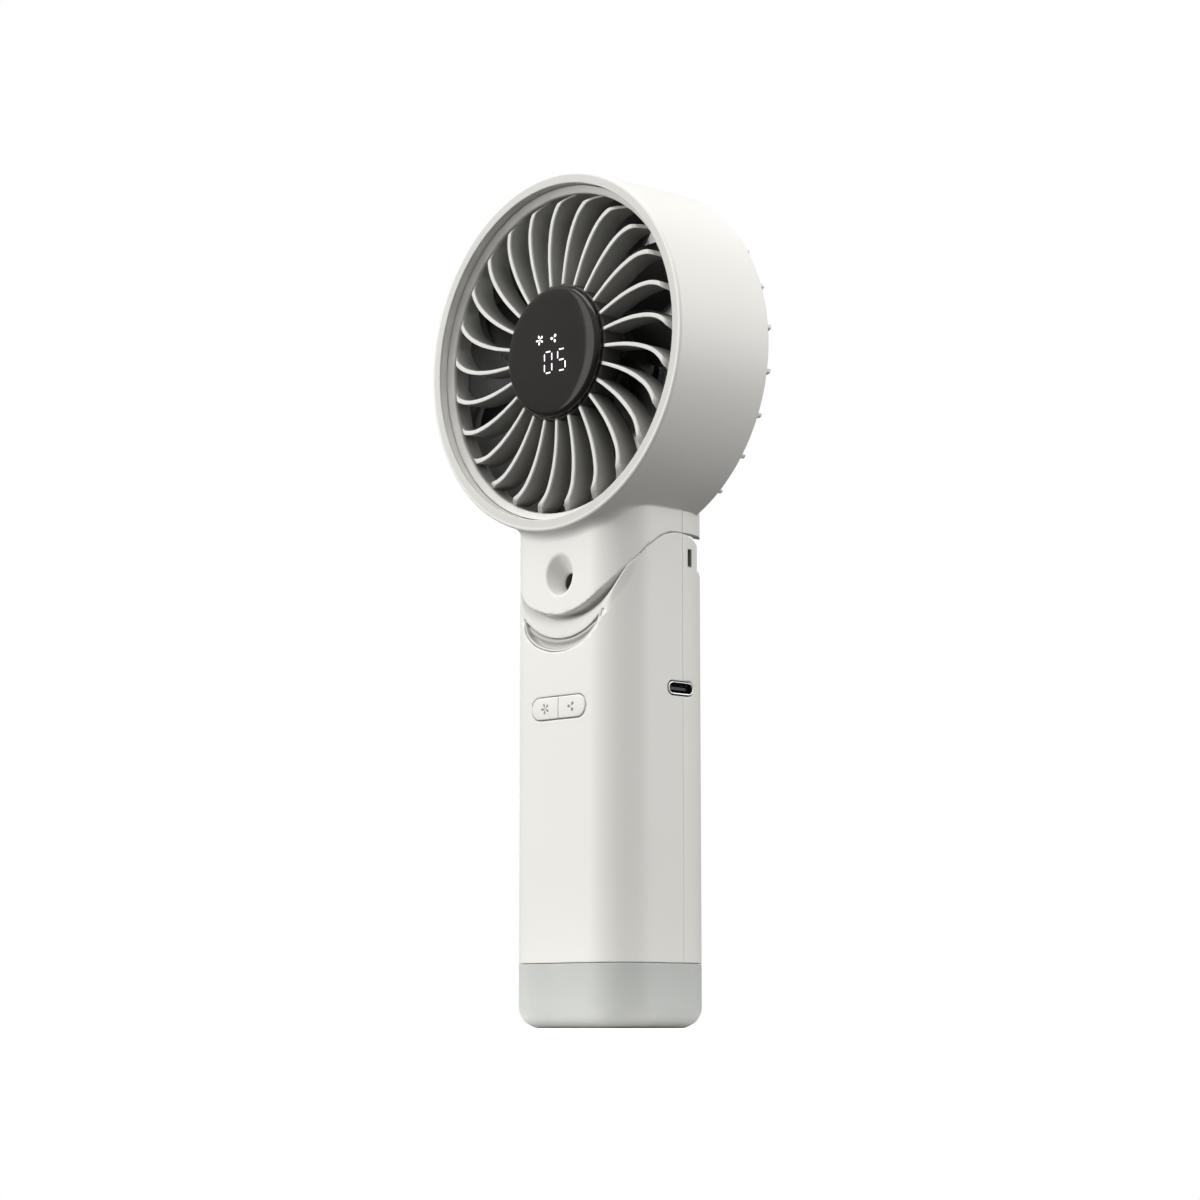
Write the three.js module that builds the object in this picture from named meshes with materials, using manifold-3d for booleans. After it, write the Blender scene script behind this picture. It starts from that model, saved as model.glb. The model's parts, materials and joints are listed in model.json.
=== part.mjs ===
// Handheld electric fan: a handle with a lamp foot, a folding round head, a turning impeller.
// Millimetres. Origin at the centre of the base, +Z up, the air leaves towards -Y,
// the charging port is on the +X side.

import * as THREE from 'three';
import { mergeVertices } from 'three/addons/utils/BufferGeometryUtils.js';
import Module from 'manifold-3d';

const wasm = await Module();
wasm.setup();

// ---------------------------------------------------------------- driving dimensions

const GAP = 0.3;
const RUNNING = 0.08;
const WALL = 1.8;

const HANDLE_WIDTH = 45;
const HANDLE_DEPTH = 36.5;
const HANDLE_CORNER = 12.5;
const FRONT = -HANDLE_DEPTH / 2;
const REAR = HANDLE_DEPTH / 2;
const SEAM_Y = 4.4;
const LAMP_TOP = 16.3;

const HINGE_Y = 3;
const HINGE_Z = 113;
const EAR_RADIUS = 14;
const EAR_INNER_X = 18.6;
const EAR_REAR_Y = 11.6;
const REAR_WALL_TOP = 117.8;
const BARREL_RADIUS = 13;
const CHEEK_X = 18.3;
const PIN_RADIUS = 2.5;
const BOWL_SWELL = 4.6;

const TONGUE_RADIUS = 23.1;
const TONGUE_CENTRE_Z = 129;

const DRUM_RADIUS = 47.5;
const DRUM_WALL = 2.3;
const DRUM_Z = 175;
const DRUM_FRONT = -21.3;
const DRUM_REAR = 11.3;

const GRILLE_RING_INNER = 42.3;
const GRILLE_RING_OUTER = 44.1;
const GRILLE_FRONT = -19.4;
const GRILLE_BACK = -12.6;
const VANE_COUNT = 25;
const DISPLAY_RADIUS = 17.5;

const IMPELLER_RADIUS = 43;
const IMPELLER_BLADES = 9;
const SHAFT_RADIUS = 1;

const BUTTON_Z = 81.7;
const BUTTON_HALF_WIDTH = 10.2;
const BUTTON_HALF_HEIGHT = 3.1;
const USB_Y = 3.6;
const USB_Z = 86.5;

const BATTERY_RADIUS = 9.1;
const BATTERY_LENGTH = 65;
const BATTERY_Z = 21.5;
const BATTERY_Y = 5;

const CORNER_SEGMENTS = 4;
const DRUM_SEGMENTS = 52;
const HIDDEN_SEGMENTS = 20;

// ---------------------------------------------------------------- solid helpers

// A closed solid from a geometry, facing outwards whichever way the geometry was wound.
function solid(geometry) {
  const plain = geometry.clone();
  for (const name of Object.keys(plain.attributes)) {
    if (name !== 'position') plain.deleteAttribute(name);
  }
  const merged = mergeVertices(plain, 1e-4);
  const points = merged.getAttribute('position').array;
  const triangles = [];
  let volume = 0;
  for (let i = 0; i < merged.index.count; i += 3) {
    const [a, b, c] = [0, 1, 2].map((k) => merged.index.getX(i + k));
    if (a === b || b === c || c === a) continue;
    triangles.push(a, b, c);
    const [pa, pb, pc] = [a, b, c].map((k) => new THREE.Vector3().fromArray(points, 3 * k));
    volume += pa.dot(pb.cross(pc));
  }
  if (volume < 0) triangles.reverse();
  const mesh = new wasm.Mesh({
    numProp: 3,
    vertProperties: new Float32Array(points),
    triVerts: new Uint32Array(triangles),
  });
  return new wasm.Manifold(mesh);
}

function unite(parts) {
  return parts.reduce((sum, part) => sum.add(part));
}

function box(x0, x1, y0, y1, z0, z1) {
  const geometry = new THREE.BoxGeometry(x1 - x0, y1 - y0, z1 - z0);
  return solid(geometry.translate((x0 + x1) / 2, (y0 + y1) / 2, (z0 + z1) / 2));
}

function alongZ(shape, z0, z1, curveSegments = CORNER_SEGMENTS) {
  const geometry = new THREE.ExtrudeGeometry(shape, { depth: z1 - z0, bevelEnabled: false, curveSegments });
  return solid(geometry.translate(0, 0, z0));
}

// The shape is drawn in X and Z.
function alongY(shape, y0, y1, curveSegments = CORNER_SEGMENTS) {
  const geometry = new THREE.ExtrudeGeometry(shape, { depth: y1 - y0, bevelEnabled: false, curveSegments });
  return solid(geometry.rotateX(Math.PI / 2).translate(0, y1, 0));
}

// The shape is drawn in Y and Z.
function alongX(shape, x0, x1, curveSegments = CORNER_SEGMENTS) {
  const geometry = new THREE.ExtrudeGeometry(shape, { depth: x1 - x0, bevelEnabled: false, curveSegments });
  const turn = new THREE.Matrix4().makeBasis(
    new THREE.Vector3(0, 1, 0),
    new THREE.Vector3(0, 0, 1),
    new THREE.Vector3(1, 0, 0),
  );
  return solid(geometry.applyMatrix4(turn).translate(x0, 0, 0));
}

// Profile of [radius, height] pairs turned about an axis parallel to Y through (x, z).
function turnedY(profile, x, z, segments = DRUM_SEGMENTS) {
  const points = profile.map(([radius, height]) => new THREE.Vector2(radius, height));
  return solid(new THREE.LatheGeometry(points, segments).translate(x, 0, z));
}

// Profile of [radius, x] pairs turned about the hinge axis.
function turnedHinge(profile, segments = 30) {
  const points = profile.map(([radius, height]) => new THREE.Vector2(radius, height));
  const turn = new THREE.Matrix4().makeBasis(
    new THREE.Vector3(0, 0, 1),
    new THREE.Vector3(1, 0, 0),
    new THREE.Vector3(0, 1, 0),
  );
  const geometry = new THREE.LatheGeometry(points, segments).applyMatrix4(turn);
  return solid(geometry.translate(0, HINGE_Y, HINGE_Z));
}

function discY(radius, y0, y1, x, z, segments = HIDDEN_SEGMENTS) {
  return turnedY([[0, y0], [radius, y0], [radius, y1], [0, y1]], x, z, segments);
}

function ringY(inner, outer, y0, y1, x, z, segments = DRUM_SEGMENTS) {
  return turnedY([[inner, y0], [outer, y0], [outer, y1], [inner, y1], [inner, y0]], x, z, segments);
}

function discHinge(radius, x0, x1, segments = 30) {
  return turnedHinge([[0, x0], [radius, x0], [radius, x1], [0, x1]], segments);
}

function ringHinge(inner, outer, x0, x1, segments = HIDDEN_SEGMENTS) {
  return turnedHinge([[inner, x0], [outer, x0], [outer, x1], [inner, x1], [inner, x0]], segments);
}

function discZ(radius, z0, z1, x, y, segments = HIDDEN_SEGMENTS) {
  const geometry = new THREE.CylinderGeometry(radius, radius, z1 - z0, segments);
  return solid(geometry.rotateX(Math.PI / 2).translate(x, y, (z0 + z1) / 2));
}

function circle(x, y, radius) {
  const shape = new THREE.Shape();
  shape.absarc(x, y, radius, 0, 2 * Math.PI);
  return shape;
}

function ellipse(x, y, halfWidth, halfHeight) {
  const shape = new THREE.Shape();
  shape.absellipse(x, y, halfWidth, halfHeight, 0, 2 * Math.PI);
  return shape;
}

function roundedRectangle(width, height, corner, x = 0, y = 0) {
  const shape = new THREE.Shape();
  const dx = width / 2 - corner;
  const dy = height / 2 - corner;
  const centres = [[dx, dy], [-dx, dy], [-dx, -dy], [dx, -dy]];
  centres.forEach(([cx, cy], quarter) => {
    const start = quarter * Math.PI / 2;
    shape.absarc(x + cx, y + cy, corner, start, start + Math.PI / 2);
  });
  return shape;
}

function handleSection(inset) {
  return roundedRectangle(
    HANDLE_WIDTH - 2 * inset,
    HANDLE_DEPTH - 2 * inset,
    HANDLE_CORNER - inset,
  );
}

function handlePrism(inset, z0, z1) {
  return alongZ(handleSection(inset), z0, z1);
}

// The handle section with a different inset at each height, closed at both ends.
function stackedSection(rings) {
  const outlines = rings.map(([z, inset]) => {
    const points = handleSection(inset).getPoints(CORNER_SEGMENTS);
    return points.map((point) => new THREE.Vector3(point.x, point.y, z));
  });
  const triangles = [];
  const count = outlines[0].length;
  for (let k = 0; k < count; k += 1) {
    const next = (k + 1) % count;
    for (let level = 0; level + 1 < outlines.length; level += 1) {
      const low = outlines[level];
      const high = outlines[level + 1];
      triangles.push(low[k], low[next], high[next], low[k], high[next], high[k]);
    }
    const bottom = outlines[0];
    const top = outlines[outlines.length - 1];
    triangles.push(new THREE.Vector3(0, 0, bottom[0].z), bottom[next], bottom[k]);
    triangles.push(new THREE.Vector3(0, 0, top[0].z), top[k], top[next]);
  }
  return solid(new THREE.BufferGeometry().setFromPoints(triangles));
}

// A sector about the hinge axis; angles in degrees from straight up towards the front.
function hingeWedge(from, to) {
  const shape = new THREE.Shape();
  shape.moveTo(HINGE_Y, HINGE_Z);
  for (let step = 0; step <= 8; step += 1) {
    const angle = THREE.MathUtils.degToRad(from + (to - from) * step / 8);
    shape.lineTo(HINGE_Y - 70 * Math.sin(angle), HINGE_Z + 70 * Math.cos(angle));
  }
  return alongX(shape, -30, 30);
}

// A strip lofted through rings of equal point counts, closed at both ends by fans.
function loft(rings) {
  const triangles = [];
  const count = rings[0].length;
  for (let level = 0; level + 1 < rings.length; level += 1) {
    for (let k = 0; k < count; k += 1) {
      const next = (k + 1) % count;
      const [low, high] = [rings[level], rings[level + 1]];
      triangles.push(low[k], low[next], high[next], low[k], high[next], high[k]);
    }
  }
  const last = rings[rings.length - 1];
  for (let k = 1; k + 1 < count; k += 1) {
    triangles.push(rings[0][0], rings[0][k + 1], rings[0][k]);
    triangles.push(last[0], last[k], last[k + 1]);
  }
  return solid(new THREE.BufferGeometry().setFromPoints(triangles));
}

// Angle clockwise from +Z as seen from the front.
function polar(radius, degrees, y) {
  const angle = THREE.MathUtils.degToRad(degrees);
  return new THREE.Vector3(radius * Math.sin(angle), y, DRUM_Z + radius * Math.cos(angle));
}

// ---------------------------------------------------------------- shared hinge shapes

// Surface on which the tongue turns in the bowl of the handle: full in the middle, down to
// the ear radius at the ears.
function bowl(grow, halfWidth, segments = 30) {
  const profile = [[0, -halfWidth]];
  for (const part of [-1, -0.85, -0.6, 0, 0.6, 0.85, 1]) {
    const x = part * halfWidth;
    const share = Math.min(1, Math.abs(x) / EAR_INNER_X);
    profile.push([EAR_RADIUS + BOWL_SWELL * (1 - share ** 4) + grow, x]);
  }
  profile.push([0, halfWidth]);
  return turnedHinge(profile, segments);
}

// Barrel between the ears, narrower at its ends to stay inside the rounded handle corners.
function barrelBody(shrink, segments = 30) {
  const r = BARREL_RADIUS - shrink;
  const x = CHEEK_X - shrink;
  const half = [[r, 10.5], [r - 1.4, 15 - shrink / 2], [r - 3.9, x]];
  const lower = half.map(([radius, height]) => [radius, -height]).reverse();
  return turnedHinge([[0, -x], ...lower, ...half, [0, x]], segments);
}

// Space swept in the head by the back wall of the handle, up to its top edge at full fold.
function sweptByHandle() {
  const reach = REAR_WALL_TOP - HINGE_Z + GAP;
  return discHinge(23.4, -EAR_INNER_X, EAR_INNER_X)
    .subtract(barrelBody(0))
    .intersect(hingeWedge(-150, 35))
    .intersect(box(-30, 30, HINGE_Y - reach, 60, 60, 160));
}

function tongueCylinder(grow) {
  return alongY(circle(0, TONGUE_CENTRE_Z, TONGUE_RADIUS + grow), -30, 30, 20);
}

// Everything on the tongue side of the parting line.
function aboveParting(grow) {
  return tongueCylinder(grow).add(box(-30, 30, -30, 30, TONGUE_CENTRE_Z, 160));
}

// Hollow below the tongue: deep beside the tongue, shallow at its lower lip.
function scoop(grow) {
  const profile = [
    [21, -40],
    [33, -40],
    [33, -16.9 + grow],
    [28, -16.9 + grow],
    [25.6, -15.8 + grow],
    [24.3, -13.8 + grow],
    [23.6, -11.5 + grow],
    [21, -11.5 + grow],
    [21, -40],
  ];
  const cove = turnedY(profile, 0, TONGUE_CENTRE_Z);
  return cove.intersect(alongY(ellipse(0, 118.3, 21.5 + grow, 18.5 + grow), -40, 10, 16));
}

function crescent(shrink, y0, y1) {
  const outer = alongY(ellipse(0, 106, 14.6 - shrink, 9.85 - shrink), y0, y1, 16);
  return outer.subtract(alongY(ellipse(0, 118.3, 21.5 + shrink, 18.5 + shrink), y0 - 1, y1 + 1, 16));
}

// Space taken by the back of the folded head.
function foldedClearance() {
  const halfHeight = REAR - HINGE_Y + 1.25;
  const outline = roundedRectangle(HANDLE_WIDTH + 2.5, 2 * halfHeight, HANDLE_CORNER + 1.25, 0, HINGE_Z);
  return alongY(outline, HINGE_Y, 40);
}

// ---------------------------------------------------------------- handle

// Outer form: front wall up to the tongue, back wall up to its top edge, and two ears.
function handleBlank() {
  const betweenEars = box(-EAR_INNER_X, EAR_INNER_X, -30, 30, 0, 140);
  const front = handlePrism(0, LAMP_TOP + GAP, 128)
    .subtract(aboveParting(GAP))
    .subtract(betweenEars.intersect(box(-30, 30, -30, 30, HINGE_Z + 4, 140)))
    .subtract(box(-30, 30, HINGE_Y - 1, 30, REAR_WALL_TOP, 140));
  const back = handlePrism(0, LAMP_TOP + GAP, REAR_WALL_TOP).intersect(box(-30, 30, 0, 30, 0, 140));
  const ears = handlePrism(0, HINGE_Z - 10, 128)
    .intersect(discHinge(EAR_RADIUS, -30, 30, 40))
    .subtract(betweenEars)
    .subtract(box(-30, 30, EAR_REAR_Y, 30, REAR_WALL_TOP, 140));
  return front.add(back).add(ears);
}

function handleCavity() {
  const inside = handlePrism(WALL, LAMP_TOP - 1, HINGE_Z);
  const grooveWall = alongY(ellipse(0, 106, 16.4, 11.65), FRONT - 5, FRONT + 9, 10);
  return inside.subtract(bowl(GAP + WALL, 24, 20)).subtract(scoop(2)).subtract(grooveWall);
}

function bowlCut() {
  const room = handlePrism(WALL, 0, 140).add(box(-30, 30, -40, 0, 0, 140));
  return bowl(GAP, EAR_INNER_X).intersect(room);
}

function capsule(width, height, x, y) {
  return roundedRectangle(width, height, height / 2, x, y);
}

function buttonOpening() {
  const outline = capsule(2 * BUTTON_HALF_WIDTH, 2 * BUTTON_HALF_HEIGHT, 0, BUTTON_Z);
  return alongY(outline, FRONT - 2, FRONT + 4);
}

function usbOpening() {
  const outline = roundedRectangle(9.6, 3.9, 1.9, USB_Y, USB_Z);
  return alongX(outline, 15, 30);
}

function lanyardSlots() {
  const right = alongX(roundedRectangle(1.3, 4.5, 0.5, 7.1, 120.8), EAR_INNER_X - 1, 30);
  return right.add(right.mirror([1, 0, 0]));
}

function rearNotch() {
  return alongY(circle(0, 118, 17), 6, 30, 18);
}

function pinHoles() {
  return discHinge(PIN_RADIUS + GAP, -20.6, 20.6, HIDDEN_SEGMENTS);
}

function handleShell() {
  return handleBlank()
    .subtract(handleCavity())
    .subtract(bowlCut())
    .subtract(scoop(0))
    .subtract(crescent(0, FRONT - 5, FRONT + 3.4))
    .subtract(rearNotch())
    .subtract(buttonOpening())
    .subtract(usbOpening())
    .subtract(lanyardSlots())
    .subtract(pinHoles());
}

function frontHalf(whole) {
  return whole.intersect(box(-60, 60, -60, SEAM_Y - 0.1, -10, 300));
}

function rearHalf(whole) {
  return whole.intersect(box(-60, 60, SEAM_Y + 0.1, 60, -10, 300));
}

// Ridged floor of the crescent below the tongue.
function gripInsert() {
  const profile = [
    [17, FRONT + 3.1],
    [17, FRONT + 2.3],
    [19.3, FRONT + 2.1],
    [19.7, FRONT + 1.6],
    [20.4, FRONT + 1.6],
    [20.8, FRONT + 1.1],
    [21.4, FRONT + 1.1],
    [21.8, FRONT + 0.6],
    [24, FRONT + 0.6],
    [24, FRONT + 3.1],
    [17, FRONT + 3.1],
  ];
  return turnedY(profile, 0, 118.3, 60).intersect(crescent(GAP, FRONT - 5, FRONT + 5));
}

// ---------------------------------------------------------------- lamp foot

function lampDiffuser() {
  const outside = stackedSection([
    [0, 4.2],
    [0.5, 3.1],
    [1.5, 1.75],
    [3, 0.6],
    [5.5, 0],
    [LAMP_TOP, 0],
  ]);
  const lip = handlePrism(WALL + GAP, LAMP_TOP - 1, LAMP_TOP + 3);
  const inside = stackedSection([
    [2, 3.6],
    [3.6, 2],
    [12.5, 2],
    [14, 3.5],
    [LAMP_TOP + 4, 3.5],
  ]);
  return outside.add(lip).subtract(inside);
}

function lampReflector() {
  const plate = handlePrism(4, LAMP_TOP + 0.2, LAMP_TOP + 1.4);
  const windows = ledCentres().map(([x, y]) => discZ(3, LAMP_TOP - 1, LAMP_TOP + 3, x, y));
  return plate.subtract(unite(windows));
}

function lampBoard() {
  return handlePrism(4.4, LAMP_TOP + 2.4, LAMP_TOP + 3.6);
}

function ledCentres() {
  return [[-9, -6], [9, -6], [-9, 6], [9, 6]];
}

function lampLed([x, y]) {
  return box(x - 1.75, x + 1.75, y - 1.4, y + 1.4, LAMP_TOP + 1.3, LAMP_TOP + 2.3);
}

// ---------------------------------------------------------------- inside the handle

function batteryCell() {
  const top = BATTERY_Z + BATTERY_LENGTH;
  const can = discZ(BATTERY_RADIUS, BATTERY_Z, top - 1.2, 0, BATTERY_Y);
  return can.add(discZ(3.2, top - 1.3, top, 0, BATTERY_Y));
}

function batteryCradle() {
  const outer = discZ(BATTERY_RADIUS + 1.6, BATTERY_Z + 3, BATTERY_Z + 60, 0, BATTERY_Y);
  const bore = discZ(BATTERY_RADIUS + GAP, BATTERY_Z, BATTERY_Z + 65, 0, BATTERY_Y);
  const windows = [BATTERY_Z + 12, BATTERY_Z + 36].map((z) => box(-30, 30, 8, 12, z, z + 14));
  return outer
    .subtract(bore)
    .subtract(box(-30, 30, -30, 2, 0, 200))
    .subtract(unite(windows));
}

function mainBoard() {
  return box(-16, 16, -10.4, -9.2, 52, 90);
}

function tactSwitch(side) {
  const x = side * 5;
  const body = box(x - 3, x + 3, -13.4, -10.6, BUTTON_Z - 3, BUTTON_Z + 3);
  return body.add(discY(1.7, -14.2, -13.3, x, BUTTON_Z, 12));
}

function chipPackage() {
  return box(-4, 4, -11.8, -10.6, 60, 68);
}

function pressButton(side) {
  const reach = FRONT - 0.35;
  const cap = capsule(2 * BUTTON_HALF_WIDTH - 0.6, 2 * BUTTON_HALF_HEIGHT - 0.6, 0, BUTTON_Z);
  const flange = capsule(2 * BUTTON_HALF_WIDTH + 1.6, 2 * BUTTON_HALF_HEIGHT + 1.6, 0, BUTTON_Z);
  const whole = alongY(cap, reach, FRONT + 3).add(alongY(flange, FRONT + WALL + 0.5, FRONT + 3));
  const ends = [side * GAP / 2, side * 20].sort((a, b) => a - b);
  const half = box(...ends, -30, 0, BUTTON_Z - 10, BUTTON_Z + 10);
  const nib = discY(1.3, FRONT + 2.9, -14.75, side * 5, BUTTON_Z, 12);
  return whole.intersect(half).add(nib);
}

function usbShell() {
  const outer = alongX(roundedRectangle(9, 3.3, 1.6, USB_Y, USB_Z), 14.6, HANDLE_WIDTH / 2);
  const inner = alongX(roundedRectangle(8.3, 2.6, 1.25, USB_Y, USB_Z), 15.2, 30);
  return outer.subtract(inner);
}

function usbTongue() {
  return box(15.6, HANDLE_WIDTH / 2 - 1.2, USB_Y - 3.2, USB_Y + 3.2, USB_Z - 0.35, USB_Z + 0.35);
}

function usbBoard() {
  return box(12, 19.6, USB_Y - 5, USB_Y + 5, USB_Z - 3.2, USB_Z - 2);
}

function hingePin() {
  const stem = discHinge(PIN_RADIUS, 15, 20.3, HIDDEN_SEGMENTS);
  return stem.add(discHinge(4.6, 14.2, 15.5, HIDDEN_SEGMENTS));
}

function hingeWasher() {
  return ringHinge(PIN_RADIUS + RUNNING, 5.4, 15.75, 16.25);
}

// ---------------------------------------------------------------- head housing

function drumBody() {
  const inner = DRUM_RADIUS - DRUM_WALL;
  const profile = [
    [45.7, DRUM_REAR],
    [DRUM_RADIUS - 0.5, DRUM_REAR],
    [DRUM_RADIUS, DRUM_REAR - 0.5],
    [DRUM_RADIUS, DRUM_FRONT + 1],
    [DRUM_RADIUS - 0.3, DRUM_FRONT + 0.3],
    [DRUM_RADIUS - 1, DRUM_FRONT],
    [GRILLE_RING_OUTER + 0.8, DRUM_FRONT],
    [GRILLE_RING_OUTER + GAP, DRUM_FRONT + 0.5],
    [GRILLE_RING_OUTER + GAP, GRILLE_BACK + GAP],
    [43.2, GRILLE_BACK + GAP],
    [43.2, GRILLE_BACK + 1.5],
    [inner, GRILLE_BACK + 2.6],
    [inner, 8.2],
    [45.7, 8.2],
    [45.7, DRUM_REAR],
  ];
  return turnedY(profile, 0, DRUM_Z);
}

function drumSpace(radius, y0, y1) {
  return discY(radius, y0, y1, 0, DRUM_Z, DRUM_SEGMENTS);
}

// Hollow behind the front wall of the tongue and inside its rolled lower end.
function tongueHollow() {
  const behindWall = handlePrism(WALL, HINGE_Z - 10, 128).intersect(tongueCylinder(-WALL));
  const insideRoll = bowl(-WALL, CHEEK_X - WALL, 20).intersect(hingeWedge(30, 198));
  return behindWall
    .intersect(box(-CHEEK_X + WALL, CHEEK_X - WALL, -30, HINGE_Y, 0, 200))
    .add(insideRoll)
    .subtract(barrelBody(0));
}

// Recess on the front of the tongue: a funnel that drops as it narrows, then a straight bore.
function recess(grow, depth) {
  const funnelDepth = 4.1;
  const drop = 1.6;
  const mouthZ = 116.2;
  const funnel = new THREE.CylinderGeometry(2.3 + grow, 5.3 + grow, funnelDepth, 24);
  const position = funnel.getAttribute('position');
  for (let i = 0; i < position.count; i += 1) {
    const inward = position.getY(i) / funnelDepth + 0.5;
    position.setZ(i, position.getZ(i) - drop * inward);
  }
  const bore = new THREE.CylinderGeometry(2.3 + grow, 2.3 + grow, depth - funnelDepth + 0.1, 24);
  return solid(funnel.translate(0, FRONT + funnelDepth / 2, mouthZ))
    .add(solid(bore.translate(0, FRONT + (depth + funnelDepth - 0.1) / 2, mouthZ - drop)));
}

function neckSkirt() {
  const prism = handlePrism(0, HINGE_Z - 10, 140).intersect(aboveParting(0));
  const sideRoom = discHinge(EAR_RADIUS + GAP, -30, 30, 40)
    .subtract(box(-CHEEK_X, CHEEK_X, -60, 60, 0, 300));
  const hollow = handlePrism(WALL, HINGE_Z - 10, 136)
    .subtract(box(-CHEEK_X, CHEEK_X, -60, HINGE_Y, 0, TONGUE_CENTRE_Z));
  return prism
    .subtract(sideRoom)
    .subtract(hollow)
    .subtract(sweptByHandle())
    .subtract(foldedClearance());
}

function barrel() {
  const roll = bowl(0, CHEEK_X).intersect(hingeWedge(30, 205));
  const drumLine = DRUM_Z - DRUM_RADIUS + 3;
  const webs = box(-CHEEK_X, CHEEK_X, HINGE_Y - 24, HINGE_Y, HINGE_Z, drumLine)
    .intersect(hingeWedge(30, 90))
    .intersect(handlePrism(0, 100, 140))
    .intersect(aboveParting(0));
  return roll.add(webs).add(barrelBody(0));
}

function barrelBore() {
  return barrelBody(WALL, HIDDEN_SEGMENTS).add(discHinge(PIN_RADIUS + RUNNING, -30, 30, HIDDEN_SEGMENTS));
}

function headShell() {
  const wirePath = box(-5, 5, HINGE_Y - 14, HINGE_Y - 6, HINGE_Z, HINGE_Z + 13);
  const neck = frontHalf(neckSkirt())
    .add(barrel())
    .subtract(tongueHollow())
    .add(recess(1.5, 7).subtract(discHinge(BARREL_RADIUS - 1, -30, 30)))
    .subtract(recess(0, 7.4))
    .subtract(barrelBore())
    .subtract(wirePath)
    .subtract(drumSpace(DRUM_RADIUS - 1, DRUM_FRONT - 10, 40));
  return neck.add(drumBody());
}

// ---------------------------------------------------------------- rear cover

function rearRib(index) {
  const step = 360 / VANE_COUNT;
  const stations = [[17, 0], [27, -2.8], [36.5, -7.8], [46.6, -16.2]];
  const rings = stations.map(([radius, bend]) => {
    const half = THREE.MathUtils.radToDeg(0.6 / radius);
    const angle = index * step + bend;
    return [
      polar(radius, angle - half, 9.4),
      polar(radius, angle + half, 9.4),
      polar(radius, angle + half, 13.3),
      polar(radius, angle - half, 13.3),
    ];
  });
  return loft(rings);
}

function rearFairing() {
  const outline = new THREE.Shape();
  outline.moveTo(SEAM_Y + 0.1, 110);
  outline.lineTo(REAR, 110);
  outline.lineTo(REAR, 131.5);
  outline.lineTo(REAR - 1, 135);
  outline.lineTo(REAR - 3, 138.5);
  outline.lineTo(12.3, 141.5);
  outline.lineTo(8.5, 141.5);
  outline.lineTo(SEAM_Y + 0.1, 141.5);
  return handlePrism(0, 110, 142)
    .intersect(alongX(outline, -30, 30))
    .intersect(aboveParting(0))
    .subtract(drumSpace(DRUM_RADIUS + GAP, -40, DRUM_REAR + GAP));
}

function rearFairingHollow() {
  const outline = new THREE.Shape();
  outline.moveTo(-10, 100);
  outline.lineTo(REAR - WALL, 100);
  outline.lineTo(REAR - WALL, 131);
  outline.lineTo(REAR - 3.5, 134.5);
  outline.lineTo(12.4, 137.5);
  outline.lineTo(-10, 137.5);
  return handlePrism(WALL, 100, 142).intersect(alongX(outline, -30, 30));
}

function rearCover() {
  const rimOuter = 45.4;
  const drumEdge = ringY(rimOuter, 50, 0, DRUM_REAR + GAP, 0, DRUM_Z);
  const ribs = unite(Array.from({ length: VANE_COUNT }, (_, index) => rearRib(index)))
    .subtract(drumEdge)
    .subtract(foldedClearance());
  const rings = [
    ringY(43.4, rimOuter, 8.5, 11, 0, DRUM_Z),
    turnedY([[0, 8.5], [18, 8.5], [18, 11], [16.8, 11.8], [0, 11.8]], 0, DRUM_Z),
  ];
  const fairing = rearFairing()
    .subtract(rearFairingHollow())
    .subtract(box(-30, 30, -40, 40, 0, HINGE_Z + EAR_RADIUS + GAP))
    .subtract(foldedClearance());
  const below = drumSpace(rimOuter, 8.5, 40).intersect(handlePrism(0, 120, 141.5));
  const shelf = below.intersect(box(-30, 30, 8.5, 12.3, 120, 141.5));
  return unite(rings)
    .add(ribs)
    .add(shelf)
    .add(fairing);
}

// ---------------------------------------------------------------- front grille and display

function vane(index) {
  const stations = [
    [17.7, 0, 0.45, GRILLE_FRONT],
    [27, 1.2, 0.47, GRILLE_FRONT],
    [34.5, 4, 0.51, GRILLE_FRONT],
    [39.6, 8, 0.56, GRILLE_FRONT],
    [43, 14, 0.62, GRILLE_FRONT + 2.2],
  ];
  const rings = stations.map(([radius, bend, halfThickness, front]) => {
    const half = THREE.MathUtils.radToDeg(halfThickness / radius);
    const angle = (index + 0.5) * 360 / VANE_COUNT + bend;
    return [
      polar(radius, angle + half, front),
      polar(radius, angle - half, front),
      polar(radius, angle - half, GRILLE_BACK + 0.2),
      polar(radius, angle + half, GRILLE_BACK + 0.2),
    ];
  });
  return loft(rings);
}

function frontGrille() {
  const vanes = Array.from({ length: VANE_COUNT }, (_, index) => vane(index));
  const ring = turnedY([
    [GRILLE_RING_INNER, GRILLE_BACK],
    [GRILLE_RING_OUTER, GRILLE_BACK],
    [GRILLE_RING_OUTER, GRILLE_FRONT + 1.6],
    [GRILLE_RING_INNER + 0.5, GRILLE_FRONT + 1.8],
    [GRILLE_RING_INNER, GRILLE_FRONT + 2.4],
    [GRILLE_RING_INNER, GRILLE_BACK],
  ], 0, DRUM_Z);
  const cup = discY(DISPLAY_RADIUS + 0.4, GRILLE_FRONT + 0.4, GRILLE_BACK, 0, DRUM_Z, DRUM_SEGMENTS);
  const pocket = discY(DISPLAY_RADIUS - 1.2, GRILLE_FRONT - 1, GRILLE_BACK - 1.4, 0, DRUM_Z, 30);
  return unite(vanes).add(ring).add(cup).subtract(pocket);
}

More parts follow.
